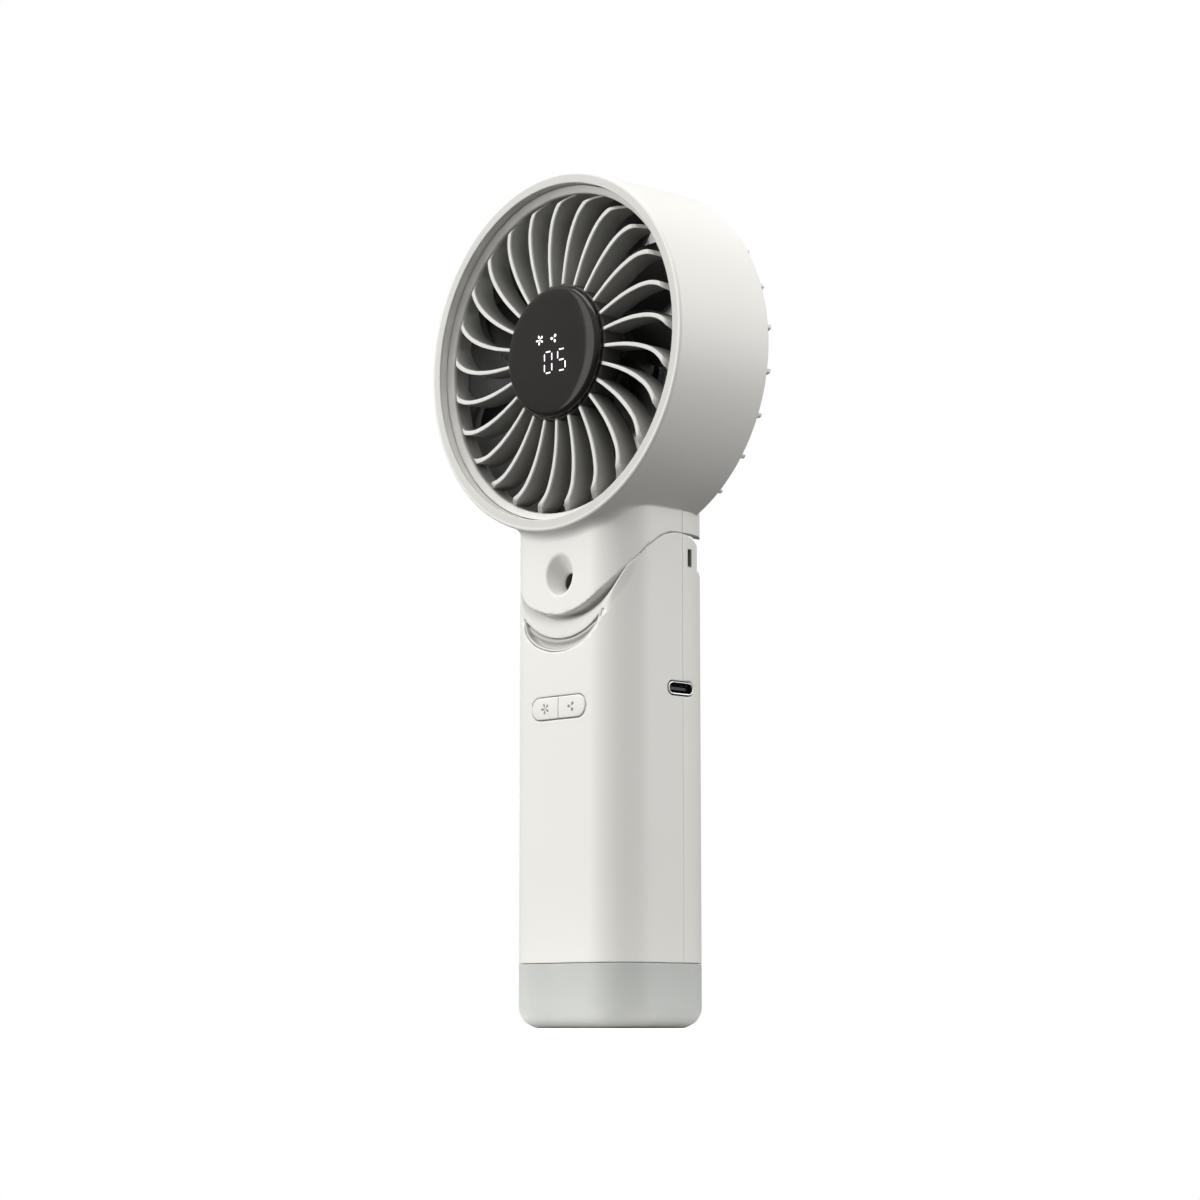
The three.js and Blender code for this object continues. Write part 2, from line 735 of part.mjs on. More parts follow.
function displayLens() {
  const profile = [
    [0, GRILLE_FRONT + 0.1],
    [DISPLAY_RADIUS, GRILLE_FRONT + 0.1],
    [DISPLAY_RADIUS, GRILLE_FRONT - 0.9],
    [DISPLAY_RADIUS - 0.5, GRILLE_FRONT - 1.35],
    [DISPLAY_RADIUS - 5, GRILLE_FRONT - 1.85],
    [0, GRILLE_FRONT - 2.1],
  ];
  return turnedY(profile, 0, DRUM_Z, 36);
}

function displayBoard() {
  return discY(DISPLAY_RADIUS - 2, GRILLE_FRONT + 2, GRILLE_FRONT + 3.2, 0, DRUM_Z);
}

function displayModule() {
  return box(-7, 7, GRILLE_FRONT + 0.5, GRILLE_FRONT + 1.8, DRUM_Z - 7, DRUM_Z + 7);
}

// ---------------------------------------------------------------- motor and impeller

function blade(index) {
  const stations = [
    [15, 0, 13, 10.5],
    [25, 5, 14, 11],
    [34, 12, 13, 10],
    [IMPELLER_RADIUS, 21, 11.5, 8],
  ];
  const rings = stations.map(([radius, sweep, chord, height]) => {
    const middle = index * 360 / IMPELLER_BLADES + sweep;
    const spread = THREE.MathUtils.radToDeg(chord / radius) / 2;
    const thick = THREE.MathUtils.radToDeg(0.6 / radius);
    const front = -9.8 + (10.5 - height) / 2;
    return [
      polar(radius, middle - spread, front),
      polar(radius, middle - spread + thick, front),
      polar(radius, middle + thick + 0.15 * spread, front + height * 0.42),
      polar(radius, middle + spread, front + height),
      polar(radius, middle + spread - thick, front + height),
      polar(radius, middle - thick + 0.15 * spread, front + height * 0.55),
    ];
  });
  return loft(rings);
}

function impeller() {
  const blades = Array.from({ length: IMPELLER_BLADES }, (_, index) => blade(index));
  const hub = turnedY([
    [1.3, -10.6],
    [14, -10.6],
    [16, -9.4],
    [16.2, 1.4],
    [14.6, 1.4],
    [14.6, -8.4],
    [1.3, -8.4],
    [1.3, -10.6],
  ], 0, DRUM_Z, 36);
  const bore = discY(15.4, -9, 5, 0, DRUM_Z, 36);
  return unite(blades).subtract(bore).add(hub);
}

function rotorCan() {
  return turnedY([
    [1.3, -8.1],
    [13.6, -8.1],
    [14.3, -7.4],
    [14.3, 1],
    [13.3, 1],
    [13.3, -7.1],
    [1.3, -7.1],
    [1.3, -8.1],
  ], 0, DRUM_Z, HIDDEN_SEGMENTS);
}

function magnetRing() {
  return ringY(11.9, 12.8, -6.6, 0.4, 0, DRUM_Z, HIDDEN_SEGMENTS);
}

function stator() {
  const outline = new THREE.Shape();
  const poles = 9;
  for (let index = 0; index < poles; index += 1) {
    const middle = index * 2 * Math.PI / poles;
    const corners = [[6.4, -0.2], [9.4, -0.13], [11.4, -0.26], [11.4, 0.26], [9.4, 0.13], [6.4, 0.2]];
    corners.forEach(([radius, offset]) => {
      const x = radius * Math.cos(middle + offset);
      const z = DRUM_Z + radius * Math.sin(middle + offset);
      if (index === 0 && offset === -0.2) outline.moveTo(x, z);
      else outline.lineTo(x, z);
    });
  }
  return alongY(outline, -6, 0).subtract(discY(4.3, -8, 3, 0, DRUM_Z));
}

function motorMount() {
  const flange = discY(13, 6.2, 8.2, 0, DRUM_Z);
  const tube = discY(4, -6.8, 6.4, 0, DRUM_Z);
  return flange.add(tube).subtract(discY(2.9, -8, 7.2, 0, DRUM_Z));
}

function driverBoard() {
  return ringY(4.4, 13.2, 2.6, 3.8, 0, DRUM_Z, HIDDEN_SEGMENTS);
}

function bearing(y) {
  return ringY(SHAFT_RADIUS + RUNNING, 2.6, y, y + 2.3, 0, DRUM_Z, HIDDEN_SEGMENTS);
}

function motorShaft() {
  return discY(SHAFT_RADIUS, -10.4, 7, 0, DRUM_Z);
}

function coverScrew(degrees) {
  const centre = polar(14.5, degrees, 0);
  return discY(1.4, 12.1, 12.7, centre.x, centre.z, 12);
}

// ---------------------------------------------------------------- assembly

const FINISHES = {
  shell: [0xe9e8e2, 0.45, 0],
  diffuser: [0xcfd4d0, 0.55, 0],
  glass: [0x241f1e, 0.08, 0],
  dark: [0x3b3a38, 0.5, 0],
  white: [0xf2f2ee, 0.4, 0],
  board: [0x1d4d36, 0.55, 0],
  chip: [0x1b1b1c, 0.5, 0],
  steel: [0xb9bcc0, 0.25, 1],
  magnet: [0x4a4c50, 0.35, 0.8],
  copper: [0xb4693a, 0.35, 0.9],
  wrap: [0x3c6ea8, 0.4, 0],
  led: [0xf4e9b0, 0.3, 0],
};

function mesh(name, finish, manifold) {
  const { vertProperties, triVerts } = manifold.simplify(0.03).getMesh();
  const geometry = new THREE.BufferGeometry();
  geometry.setAttribute('position', new THREE.BufferAttribute(vertProperties, 3));
  geometry.setIndex(new THREE.BufferAttribute(triVerts, 1));
  const [color, roughness, metalness] = FINISHES[finish];
  const part = new THREE.Mesh(geometry, new THREE.MeshStandardMaterial({ color, roughness, metalness }));
  part.name = name;
  return part;
}

function handleMeshes() {
  const shell = handleShell();
  const pin = hingePin();
  const washer = hingeWasher();
  return [
    mesh('handle_front_shell', 'shell', frontHalf(shell)),
    mesh('handle_rear_shell', 'shell', rearHalf(shell)),
    mesh('grip_insert', 'white', gripInsert()),
    mesh('lamp_diffuser', 'diffuser', lampDiffuser()),
    mesh('lamp_reflector', 'white', lampReflector()),
    mesh('lamp_board', 'board', lampBoard()),
    ...ledCentres().map((centre, index) => mesh(`lamp_led_${index + 1}`, 'led', lampLed(centre))),
    mesh('battery_cell', 'wrap', batteryCell()),
    mesh('battery_cradle', 'dark', batteryCradle()),
    mesh('main_board', 'board', mainBoard()),
    mesh('control_chip', 'chip', chipPackage()),
    mesh('tact_switch_fan', 'steel', tactSwitch(-1)),
    mesh('tact_switch_mode', 'steel', tactSwitch(1)),
    mesh('usb_c_shell', 'steel', usbShell()),
    mesh('usb_c_tongue', 'chip', usbTongue()),
    mesh('usb_board', 'board', usbBoard()),
    mesh('hinge_pin_right', 'steel', pin),
    mesh('hinge_pin_left', 'steel', pin.mirror([1, 0, 0])),
    mesh('hinge_washer_right', 'steel', washer),
    mesh('hinge_washer_left', 'steel', washer.mirror([1, 0, 0])),
    mesh('button_fan', 'shell', pressButton(-1)),
    mesh('button_mode', 'shell', pressButton(1)),
  ];
}

function headMeshes() {
  return [
    mesh('head_shell', 'shell', headShell()),
    mesh('rear_cover', 'shell', rearCover()),
    mesh('front_grille', 'shell', frontGrille()),
    mesh('display_lens', 'glass', displayLens()),
    mesh('display_module', 'chip', displayModule()),
    mesh('display_board', 'board', displayBoard()),
    mesh('motor_mount', 'steel', motorMount()),
    mesh('motor_stator', 'copper', stator()),
    mesh('driver_board', 'board', driverBoard()),
    mesh('bearing_front', 'steel', bearing(-6.4)),
    mesh('bearing_rear', 'steel', bearing(4.4)),
    ...[0, 120, 240].map((degrees, index) => (
      mesh(`cover_screw_${index + 1}`, 'steel', coverScrew(degrees))
    )),
  ];
}

function impellerMeshes() {
  return [
    mesh('impeller', 'dark', impeller()),
    mesh('rotor_can', 'steel', rotorCan()),
    mesh('magnet_ring', 'magnet', magnetRing()),
    mesh('motor_shaft', 'steel', motorShaft()),
  ];
}

const fan = new THREE.Group();
fan.name = 'handheld_fan';
fan.add(...handleMeshes(), ...headMeshes(), ...impellerMeshes());

export default fan;
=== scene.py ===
import json
import math

import bpy
import numpy as np
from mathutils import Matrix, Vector


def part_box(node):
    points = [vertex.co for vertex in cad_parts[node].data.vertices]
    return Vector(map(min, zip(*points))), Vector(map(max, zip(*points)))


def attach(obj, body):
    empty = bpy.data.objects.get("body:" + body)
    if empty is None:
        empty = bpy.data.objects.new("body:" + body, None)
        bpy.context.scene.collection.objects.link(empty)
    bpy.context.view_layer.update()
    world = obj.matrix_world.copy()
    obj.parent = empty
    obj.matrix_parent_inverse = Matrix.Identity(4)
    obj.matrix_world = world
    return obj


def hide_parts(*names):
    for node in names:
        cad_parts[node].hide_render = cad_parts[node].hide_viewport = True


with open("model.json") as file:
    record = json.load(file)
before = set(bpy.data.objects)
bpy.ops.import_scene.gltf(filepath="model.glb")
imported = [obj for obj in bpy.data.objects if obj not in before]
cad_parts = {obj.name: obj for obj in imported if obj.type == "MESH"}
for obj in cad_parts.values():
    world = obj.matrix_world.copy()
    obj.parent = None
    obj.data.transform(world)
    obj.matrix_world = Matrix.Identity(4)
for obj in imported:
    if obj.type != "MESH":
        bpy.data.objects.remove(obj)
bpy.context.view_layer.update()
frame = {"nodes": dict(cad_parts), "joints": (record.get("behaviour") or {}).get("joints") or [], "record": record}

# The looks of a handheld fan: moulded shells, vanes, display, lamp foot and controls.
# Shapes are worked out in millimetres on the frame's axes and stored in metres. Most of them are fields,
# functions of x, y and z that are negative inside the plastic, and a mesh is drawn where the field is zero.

MM = 0.001


# ---- dimensions

def box_mm(node):
    low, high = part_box(node)
    return np.array(low) / MM, np.array(high) / MM


SHELL_LOW, SHELL_HIGH = box_mm("handle_front_shell")
HEAD_LOW, HEAD_HIGH = box_mm("head_shell")
LENS_LOW, LENS_HIGH = box_mm("display_lens")
GRILLE_LOW, GRILLE_HIGH = box_mm("front_grille")
USB_LOW, USB_HIGH = box_mm("usb_c_shell")
BUTTON_LOW, BUTTON_HIGH = box_mm("button_mode")
FOLD = next(joint for joint in frame["joints"] if joint["name"] == "head_fold")
HINGE_Y, HINGE_Z = np.array(FOLD["pos_m"])[1:] / MM

HALF_WIDTH = SHELL_HIGH[0]
FRONT = SHELL_LOW[1]
REAR = box_mm("handle_rear_shell")[1][1]
LAMP_TOP = SHELL_LOW[2] - 0.3
LAMP_ROUND = 5.5
CORNER = 12.5
WALL = 1.8
GAP = 0.15
SEAM_Y = 4.4
SEAM_GAP = 0.05
SEAM_EDGE = 0.08
CAVITY_TOP = 92.5
LAMP_WALL = 2.0

EAR_RADIUS = 14.0
EAR_INNER_X = 18.6
EAR_REAR_Y = 11.6
CHEEK_X = 18.3
REAR_WALL_TOP = 117.8
BOWL_SWELL = 4.6
PIN_RADIUS = 2.5
PIN_REACH = 20.6
BARREL_REACH = 23.4
LANYARD_SLOT = (7.1, 120.8)
NOTCH_Z = 118
NOTCH_RADIUS = 17
NOTCH_FRONT = 6

TONGUE_RADIUS = 23.1
TONGUE_Z = 129.0
NECK_TOP = 140
FOLD_ROOM = 1.25
SCOOP_STEP = 1.2
SCOOP_DEPTH = 3.7
SCOOP_REACH = 1.6

# Ovals as the height of the centre, the half width and the half height.
RIDGE = (118.3, 21.5, 18.5)
CRESCENT = (106.0, 14.6, 9.85)
CRESCENT_TOP = (118.5, 19.5, 18.7)
INSERT_GAP = 0.2
INSERT_LIP = 0.4
INSERT_FLOOR = 1.55
INSERT_PITCH = 1.75

DRUM_RADIUS = HEAD_HIGH[0]
DRUM_Z = HEAD_HIGH[2] - DRUM_RADIUS
DRUM_FRONT = HEAD_LOW[1]
DRUM_REAR = 11.3
DRUM_BORE = 45.2
LEDGE_BORE = 45.7
LEDGE_Y = 8.2

GRILLE_FRONT = GRILLE_LOW[1]
GRILLE_BACK = -12.6
RING_OUTER = GRILLE_HIGH[0]
RING_INNER = RING_OUTER - 1.8
LENS_RADIUS = LENS_HIGH[0]
LENS_ROUND = 1.4
LENS_CROWN = 0.25
LENS_SHOULDER = 0.23
VANES = 25
STEP = 2 * math.pi / VANES
VANE_REACH = 1.0
VANE_CROWD = 0.3
GUARD_FRONT = 8.5
GUARD_OUTER = 45.4
GUARD_INNER = 43.4
RIB_REAR = 13.3
RIB_REACH = 46.6
HUB_PLATE = 18
HUB_CAP = 9.0
SCREW_RADIUS = 1.4
SCREW_REACH = 1.6

FAIRING_TOP = 141.5
FAIRING_ROOM = 139.7
FAIRING_BEND = (18.25, 132.5)

FUNNEL_DEPTH = 4.1
FUNNEL_Z = 116.2
FUNNEL_DROP = 1.6
FUNNEL_RADIUS = 5.05
BORE_RADIUS = 2.3

BUTTON_Z = (BUTTON_LOW[2] + BUTTON_HIGH[2]) / 2
BUTTON_HALF = (10.2, 3.1)
BUTTON_FACE = BUTTON_LOW[1]
BUTTON_CROWN = 0.012
BUTTON_CLEARANCE = 0.24
BUTTON_FLANGE = 0.8
PLATE_PROUD = 0.03
PLATE_DEPTH = 0.12
USB_Y = (USB_LOW[1] + USB_HIGH[1]) / 2
USB_Z = (USB_LOW[2] + USB_HIGH[2]) / 2

SEGMENT_WIDTH = 0.36
UPRIGHT_BAR = 2.0
LEVEL_BAR = 1.9
DIGIT_HALF = (1.4, 2.8)
DIGIT_Z = DRUM_Z - 2.95

IMPELLER_BLADES = 9
IMPELLER_RADIUS = 43.0
IMPELLER_HUB = 16.1
IMPELLER_CUP = 14.6

CAMERA_PLACE = (0.5572, -0.5398, 0.0012)
CAMERA_TARGET = (-0.0062, 0.0024, 0.1123)
CAMERA_LENS = 89.4
LIGHT_TARGET = (0, 0, 0.12)

SHELL_SHADE = (0.800, 0.790, 0.752)
SHELL_LIGHT = (0.822, 0.812, 0.775)
# Near-black colour painted into the shell plastic as shade.
PAINTED_SHADE_COLOUR = (0.030, 0.029, 0.026)
GRAIN_DEPTH = 0.00002
METAL_GRAIN = 900.0


# ---- field helpers

def both(a, b, r=0.0):
    """Inside both; r rounds the edge between them."""
    if np.isscalar(r) and r == 0:
        return np.maximum(a, b)
    return np.minimum(-r, np.maximum(a, b)) + np.hypot(np.maximum(a + r, 0), np.maximum(b + r, 0))


def either(a, b, r=0.0):
    """Inside one or the other; r fills the corner between them."""
    return -both(-a, -b, r)


def cut(a, b, r=0.0):
    return both(a, -b, r)


def slab(value, low, high):
    return np.maximum(low - value, value - high)


def rounded_box(u, v, half_u, half_v, corner):
    du = np.abs(u) - (half_u - corner)
    dv = np.abs(v) - (half_v - corner)
    outside = np.hypot(np.maximum(du, 0), np.maximum(dv, 0))
    return outside + np.minimum(np.maximum(du, dv), 0) - corner


def oval(u, v, a, b):
    near = np.hypot(u / a, v / b)
    slope = np.hypot(u / a ** 2, v / b ** 2)
    return (near - 1) * near / np.maximum(slope, 1e-3)


def smoothstep(value, low, high):
    t = np.clip((value - low) / (high - low), 0, 1)
    return t * t * (3 - 2 * t)


def graded(*stops):
    """Grid lines whose spacing changes steadily between stops of (place, spacing)."""
    marks = [np.array([stops[0][0]], float)]
    for (a, step_a), (b, step_b) in zip(stops, stops[1:]):
        count = max(1, round(2 * (b - a) / (step_a + step_b)))
        t = np.arange(1, count + 1) / count
        share = (step_a * t + (step_b - step_a) * t * t / 2) / ((step_a + step_b) / 2)
        marks.append(a + (b - a) * share)
    return np.concatenate(marks)


def mirrored(*stops):
    half = graded(*stops)
    return np.concatenate([-half[:0:-1], half])


def full_turn(*stops):
    """Grid angles all the way round from stops in degrees, with the second one repeated at the end."""
    turn = graded(*np.radians(stops))
    return np.append(turn, 2 * math.pi + turn[1])


# ---- field to mesh

def straight(x, y, z):
    return x, y, z


def round_drum(angle, y, radius):
    """Place from an angle clockwise from +Z as seen from the front, a depth and a radius."""
    return radius * np.sin(angle), y, DRUM_Z + radius * np.cos(angle)


def gradient(field, points, reach=0.01):
    slopes = np.empty_like(points)
    for axis in range(3):
        shift = np.zeros(3)
        shift[axis] = reach
        slopes[:, axis] = field(*(points + shift).T) - field(*(points - shift).T)
    return slopes / (2 * reach)


def unit(vectors):
    length = np.linalg.norm(vectors, axis=-1, keepdims=True)
    return vectors / np.maximum(length, 1e-12)


def crossing_points(field, start, end, first):
    """Where the field changes sign between start and end, by halving."""
    sign = np.where(first < 0, 1.0, -1.0)
    low = np.zeros(len(start))
    high = np.ones(len(start))
    for _ in range(9):
        middle = (low + high) / 2
        below = sign * field(*(start + middle[:, None] * (end - start)).T) < 0
        low = np.where(below, middle, low)
        high = np.where(below, high, middle)
    return start + ((low + high) / 2)[:, None] * (end - start)


def contour(field, lines, place=straight, wraps=False):
    """Points, quads and normals of the surface where the field is zero.

    Each grid cell that the surface crosses gets one point, where the tangent planes of the crossings
    meet, so edges come out sharp. With wraps, the last two lines of the first axis are its first two,
    one turn on."""
    corners = np.stack(place(*np.meshgrid(*lines, indexing="ij")), axis=-1)
    value = field(corners[..., 0], corners[..., 1], corners[..., 2])
    inside = value < 0
    shape = np.array(value.shape)

    edge_id = np.full((3, *shape), -1, dtype=np.int64)
    edges, points, total = [], [], 0
    for axis in range(3):
        step = np.eye(3, dtype=int)[axis]
        before = inside[tuple(slice(0, n - s) for n, s in zip(shape, step))]
        after = inside[tuple(slice(s, None) for s in step)]
        index = np.argwhere(before != after)
        start = corners[tuple(index.T)]
        end = corners[tuple((index + step).T)]
        points.append(crossing_points(field, start, end, value[tuple(index.T)]))
        edge_id[(axis, *index.T)] = total + np.arange(len(index))
        edges.append(index)
        total += len(index)
    points = np.concatenate(points)
    normals = unit(gradient(field, points))

    count = np.zeros(shape - 1, dtype=np.int8)
    for di, dj, dk in np.ndindex(2, 2, 2):
        count += inside[di:shape[0] - 1 + di, dj:shape[1] - 1 + dj, dk:shape[2] - 1 + dk]
    active = (count > 0) & (count < 8)
    if wraps:
        active[-1] = False
    cells = np.argwhere(active)
    cell_id = np.full(shape - 1, -1, dtype=np.int64)
    cell_id[tuple(cells.T)] = np.arange(len(cells))
    if wraps:
        cell_id[-1] = cell_id[0]

    members = []
    for axis in range(3):
        for d1, d2 in np.ndindex(2, 2):
            offset = np.zeros(3, dtype=int)
            offset[(axis + 1) % 3] = d1
            offset[(axis + 2) % 3] = d2
            members.append(edge_id[(axis, *(cells + offset).T)])
    vertices, shading = meeting_points(field, points, normals, np.stack(members, axis=1))

    quads = []
    for axis, index in enumerate(edges):
        a, b = (axis + 1) % 3, (axis + 2) % 3
        keep = (index[:, a] > 0) & (index[:, b] > 0)
        keep &= (index[:, a] < shape[a] - 1) & (index[:, b] < shape[b] - 1)
        if wraps and axis == 0:
            keep &= index[:, 0] < shape[0] - 2
        index = index[keep]
        ring = []
        for da, db in ((-1, -1), (0, -1), (0, 0), (-1, 0)):
            cell = index.copy()
            cell[:, a] += da
            cell[:, b] += db
            ring.append(cell_id[tuple(cell.T)])
        ring = np.stack(ring, axis=1)
        outward = inside[tuple(index.T)]
        ring[~outward] = ring[~outward][:, ::-1]
        quads.append(ring)
    quads = np.concatenate(quads)
    corner = vertices[quads]
    facing = np.cross(corner[:, 2] - corner[:, 0], corner[:, 3] - corner[:, 1])
    if (facing * corner[:, 0]).sum() < 0:
        quads = quads[:, ::-1]
    return vertices, quads, shading


def meeting_points(field, points, normals, members):
    """One point per cell from the crossings on its edges, and the normal to shade it with."""
    found = members >= 0
    place = points[members] * found[..., None]
    facing = normals[members] * found[..., None]
    middle = place.sum(1) / found.sum(1)[:, None]
    mean = unit(facing.sum(1))

    offset = ((place - middle[:, None]) * facing).sum(2)
    matrix = np.einsum("mki,mkj->mij", facing, facing) + 0.04 * np.eye(3)
    shift = np.linalg.solve(matrix, np.einsum("mki,mk->mi", facing, offset)[..., None])[..., 0]
    reach = np.linalg.norm((place - middle[:, None]) * found[..., None], axis=2).max(1) * 1.3 + 1e-6
    length = np.linalg.norm(shift, axis=1)
    vertices = middle + shift * np.minimum(1, reach / np.maximum(length, 1e-9))[:, None]

    along = np.where(found, (facing * mean[:, None]).sum(2), 2)
    smooth = along.min(1) > 0.9
    for _ in range(2):
        slope = gradient(field, vertices[smooth])
        step = field(*vertices[smooth].T) / np.maximum((slope ** 2).sum(1), 0.05)
        vertices[smooth] -= np.clip(step, -0.3, 0.3)[:, None] * slope
    shading = mean.copy()
    shading[smooth] = unit(gradient(field, vertices[smooth]))
    rows = np.arange(len(members))
    one_side = facing[rows, along.argmin(1)]
    across = np.where(found, (facing * one_side[:, None]).sum(2), 2)
    other_side = facing[rows, across.argmin(1)]
    shading[~smooth] = unit(one_side + other_side)[~smooth]
    return vertices, shading


def lathe(profile, segments=192):
    """Points and faces of a profile of (radius, y) pairs turned about the drum's axis."""
    profile = np.array(profile, float)
    turn = np.arange(segments) * 2 * math.pi / segments
    ring = round_drum(turn[:, None], profile[None, :, 1], profile[None, :, 0])
    vertices = np.stack(np.broadcast_arrays(*ring), axis=-1).reshape(-1, 3)
    rows = len(profile)
    faces = []
    for k in range(segments):
        here, there = k * rows, (k + 1) % segments * rows
        for j in range(rows - 1):
            faces.append((here + j, there + j, there + j + 1, here + j + 1))
    faces.append([k * rows for k in range(segments)][::-1])
    faces.append([k * rows + rows - 1 for k in range(segments)])
    return vertices, faces


def add_piece(name, body, finish, shape, replaces=(), tone_and_painted_shade=None):
    """Mesh of a shape's points, faces and shading normals, if it has any; tone_and_painted_shade is a value for
    each point, mostly painted shade.
    """
    vertices, faces, *normals = shape
    faces = faces.tolist() if isinstance(faces, np.ndarray) else faces
    mesh = bpy.data.meshes.new(name)
    mesh.from_pydata((np.asarray(vertices) * MM).tolist(), [], faces)
    mesh.polygons.foreach_set("use_smooth", [True] * len(mesh.polygons))
    if tone_and_painted_shade is not None:
        layer = mesh.attributes.new("tone_and_painted_shade", "FLOAT", "POINT")
        layer.data.foreach_set("value", np.asarray(tone_and_painted_shade, dtype=np.float32))
    if normals:
        mesh.normals_split_custom_set_from_vertices(normals[0].tolist())
    mesh.materials.append(FINISHES[finish])
    piece = new_object(name, mesh)
    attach(piece, body)
    if replaces:
        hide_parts(*replaces)


# ---- camera, floor and light

def new_object(name, data):
    thing = bpy.data.objects.new(name, data)
    bpy.context.scene.collection.objects.link(thing)
    return thing


def point_at(thing, place, target):
    thing.location = place
    thing.rotation_mode = "QUATERNION"
    thing.rotation_quaternion = (Vector(target) - Vector(place)).to_track_quat("-Z", "Y")


def make_camera():
    camera = new_object("camera", bpy.data.cameras.new("camera"))
    camera.data.lens = CAMERA_LENS
    point_at(camera, CAMERA_PLACE, CAMERA_TARGET)
    bpy.context.scene.camera = camera


def split_seen(nodes, links, lighting, seen, output):
    """The camera sees one shader; the light that falls on the fan comes from the other."""
    path = nodes.new("ShaderNodeLightPath")
    mix = nodes.new("ShaderNodeMixShader")
    links.new(path.outputs["Is Camera Ray"], mix.inputs[0])
    links.new(lighting.outputs[0], mix.inputs[1])
    links.new(seen.outputs[0], mix.inputs[2])
    links.new(mix.outputs[0], nodes[output].inputs["Surface"])


def make_floor():
    """White paper that glows to plain white away from the fan, and keeps the fan's shadow near it."""
    mesh = bpy.data.meshes.new("floor")
    size = 1.6
    corners = [(-size, -size, 0), (size, -size, 0), (size, size, 0), (-size, size, 0)]
    mesh.from_pydata(corners, [], [(0, 1, 2, 3)])
    floor = new_object("floor", mesh)
    material, nodes, links, shader = new_material("floor_paper")
    length = nodes.new("ShaderNodeVectorMath")
    length.operation = "LENGTH"
    links.new(object_place(nodes), length.inputs[0])
    from_fan = length.outputs["Value"]
    shade = nodes.new("ShaderNodeBsdfDiffuse")
    fade = colour_ramp(nodes, links, from_fan, (0.034, (0.52, 0.52, 0.51)), (0.055, (0.05, 0.05, 0.05)))
    links.new(fade, shade.inputs["Color"])
    shader.inputs["Base Color"].default_value = (0.93, 0.93, 0.92, 1)
    shader.inputs["Roughness"].default_value = 0.9
    shader.inputs["Emission Color"].default_value = (1, 1, 1, 1)
    glow = map_range(nodes, links, from_fan, (0.2, 0.7), (0.1, 1.0))
    links.new(glow, shader.inputs["Emission Strength"])
    split_seen(nodes, links, shade, shader, "Material Output")
    mesh.materials.append(material)


def make_world():
    """White behind the fan; for light it is brighter above than below."""
    world = bpy.data.worlds.new("studio")
    bpy.context.scene.world = world
    world.use_nodes = True
    nodes, links = world.node_tree.nodes, world.node_tree.links
    coordinate = nodes.new("ShaderNodeTexCoord")
    split = nodes.new("ShaderNodeSeparateXYZ")
    links.new(coordinate.outputs["Generated"], split.inputs[0])
    height = map_range(nodes, links, split.outputs["Z"], (-0.35, 1.0), (0.0, 1.0))
    sky = nodes["Background"]
    glow = colour_ramp(nodes, links, height, (0.0, (0.02, 0.02, 0.02)), (1.0, (0.86, 0.86, 0.84)))
    links.new(glow, sky.inputs["Color"])
    paper = nodes.new("ShaderNodeBackground")
    paper.inputs["Color"].default_value = (1, 1, 1, 1)
    split_seen(nodes, links, sky, paper, "World Output")


def soft_light(name, place, size, power, lights=True, glossy=True):
    lamp = new_object(name, bpy.data.lights.new(name, "AREA"))
    lamp.data.shape = "RECTANGLE"
    lamp.data.size, lamp.data.size_y = size
    lamp.data.energy = power
    lamp.visible_diffuse = lights
    lamp.visible_glossy = glossy
    point_at(lamp, place, LIGHT_TARGET)


def make_lights():
    soft_light("key_left", (-0.62, -0.92, 0.42), (0.7, 0.7), 12.0, glossy=False)
    soft_light("side_right", (0.8, 0.5, 0.45), (0.7, 0.7), 4.0)
    soft_light("fill_right", (0.95, -0.3, 0.3), (0.5, 0.5), 1.4, glossy=False)
    soft_light("top", (0.15, -0.15, 1.35), (1.0, 1.0), 7.2)
    soft_light("panel", (-0.773, -1.045, 0.3), (0.24, 1.5), 1.3, lights=False)
    bpy.context.scene.view_settings.view_transform = "Standard"


# ---- materials

def new_material(name):
    material = bpy.data.materials.new(name)
    material.use_nodes = True
    nodes, links = material.node_tree.nodes, material.node_tree.links
    return material, nodes, links, nodes["Principled BSDF"]


def object_place(nodes):
    return nodes.new("ShaderNodeTexCoord").outputs["Object"]


def object_noise(nodes, links, scale, detail=3.0):
    noise = nodes.new("ShaderNodeTexNoise")
    noise.inputs["Scale"].default_value = scale
    noise.inputs["Detail"].default_value = detail
    links.new(object_place(nodes), noise.inputs["Vector"])
    return noise.outputs["Fac"]


def map_range(nodes, links, value, source, result):
    scale = nodes.new("ShaderNodeMapRange")
    scale.inputs["From Min"].default_value, scale.inputs["From Max"].default_value = source
    scale.inputs["To Min"].default_value, scale.inputs["To Max"].default_value = result
    links.new(value, scale.inputs["Value"])
    return scale.outputs[0]


def spread(nodes, links, value, low, high):
    """Noise, which mostly lies between 0.3 and 0.7, carried to the range from low to high."""
    return map_range(nodes, links, value, (0.3, 0.7), (low, high))


def colour_ramp(nodes, links, value, *stops):
    """Colour from a value; each of the two stops is a value and its colour."""
    ramp = nodes.new("ShaderNodeValToRGB")
    for element, (place, colour) in zip(ramp.color_ramp.elements, stops):
        element.position = place
        element.color = (*colour, 1)
    links.new(value, ramp.inputs[0])
    return ramp.outputs[0]


def tinted(nodes, links, noise, dark, light):
    return colour_ramp(nodes, links, noise, (0.3, dark), (0.7, light))


def mixed(nodes, links, factor, first, second):
    """Colour that goes from the first to the second; each is a plain colour or a node's output."""
    mix = nodes.new("ShaderNodeMix")
    mix.data_type = "RGBA"
    links.new(factor, mix.inputs["Factor"])
    for name, colour in (("A", first), ("B", second)):
        if isinstance(colour, tuple):
            mix.inputs[name].default_value = (*colour, 1)
        else:
            links.new(colour, mix.inputs[name])
    return mix.outputs["Result"]


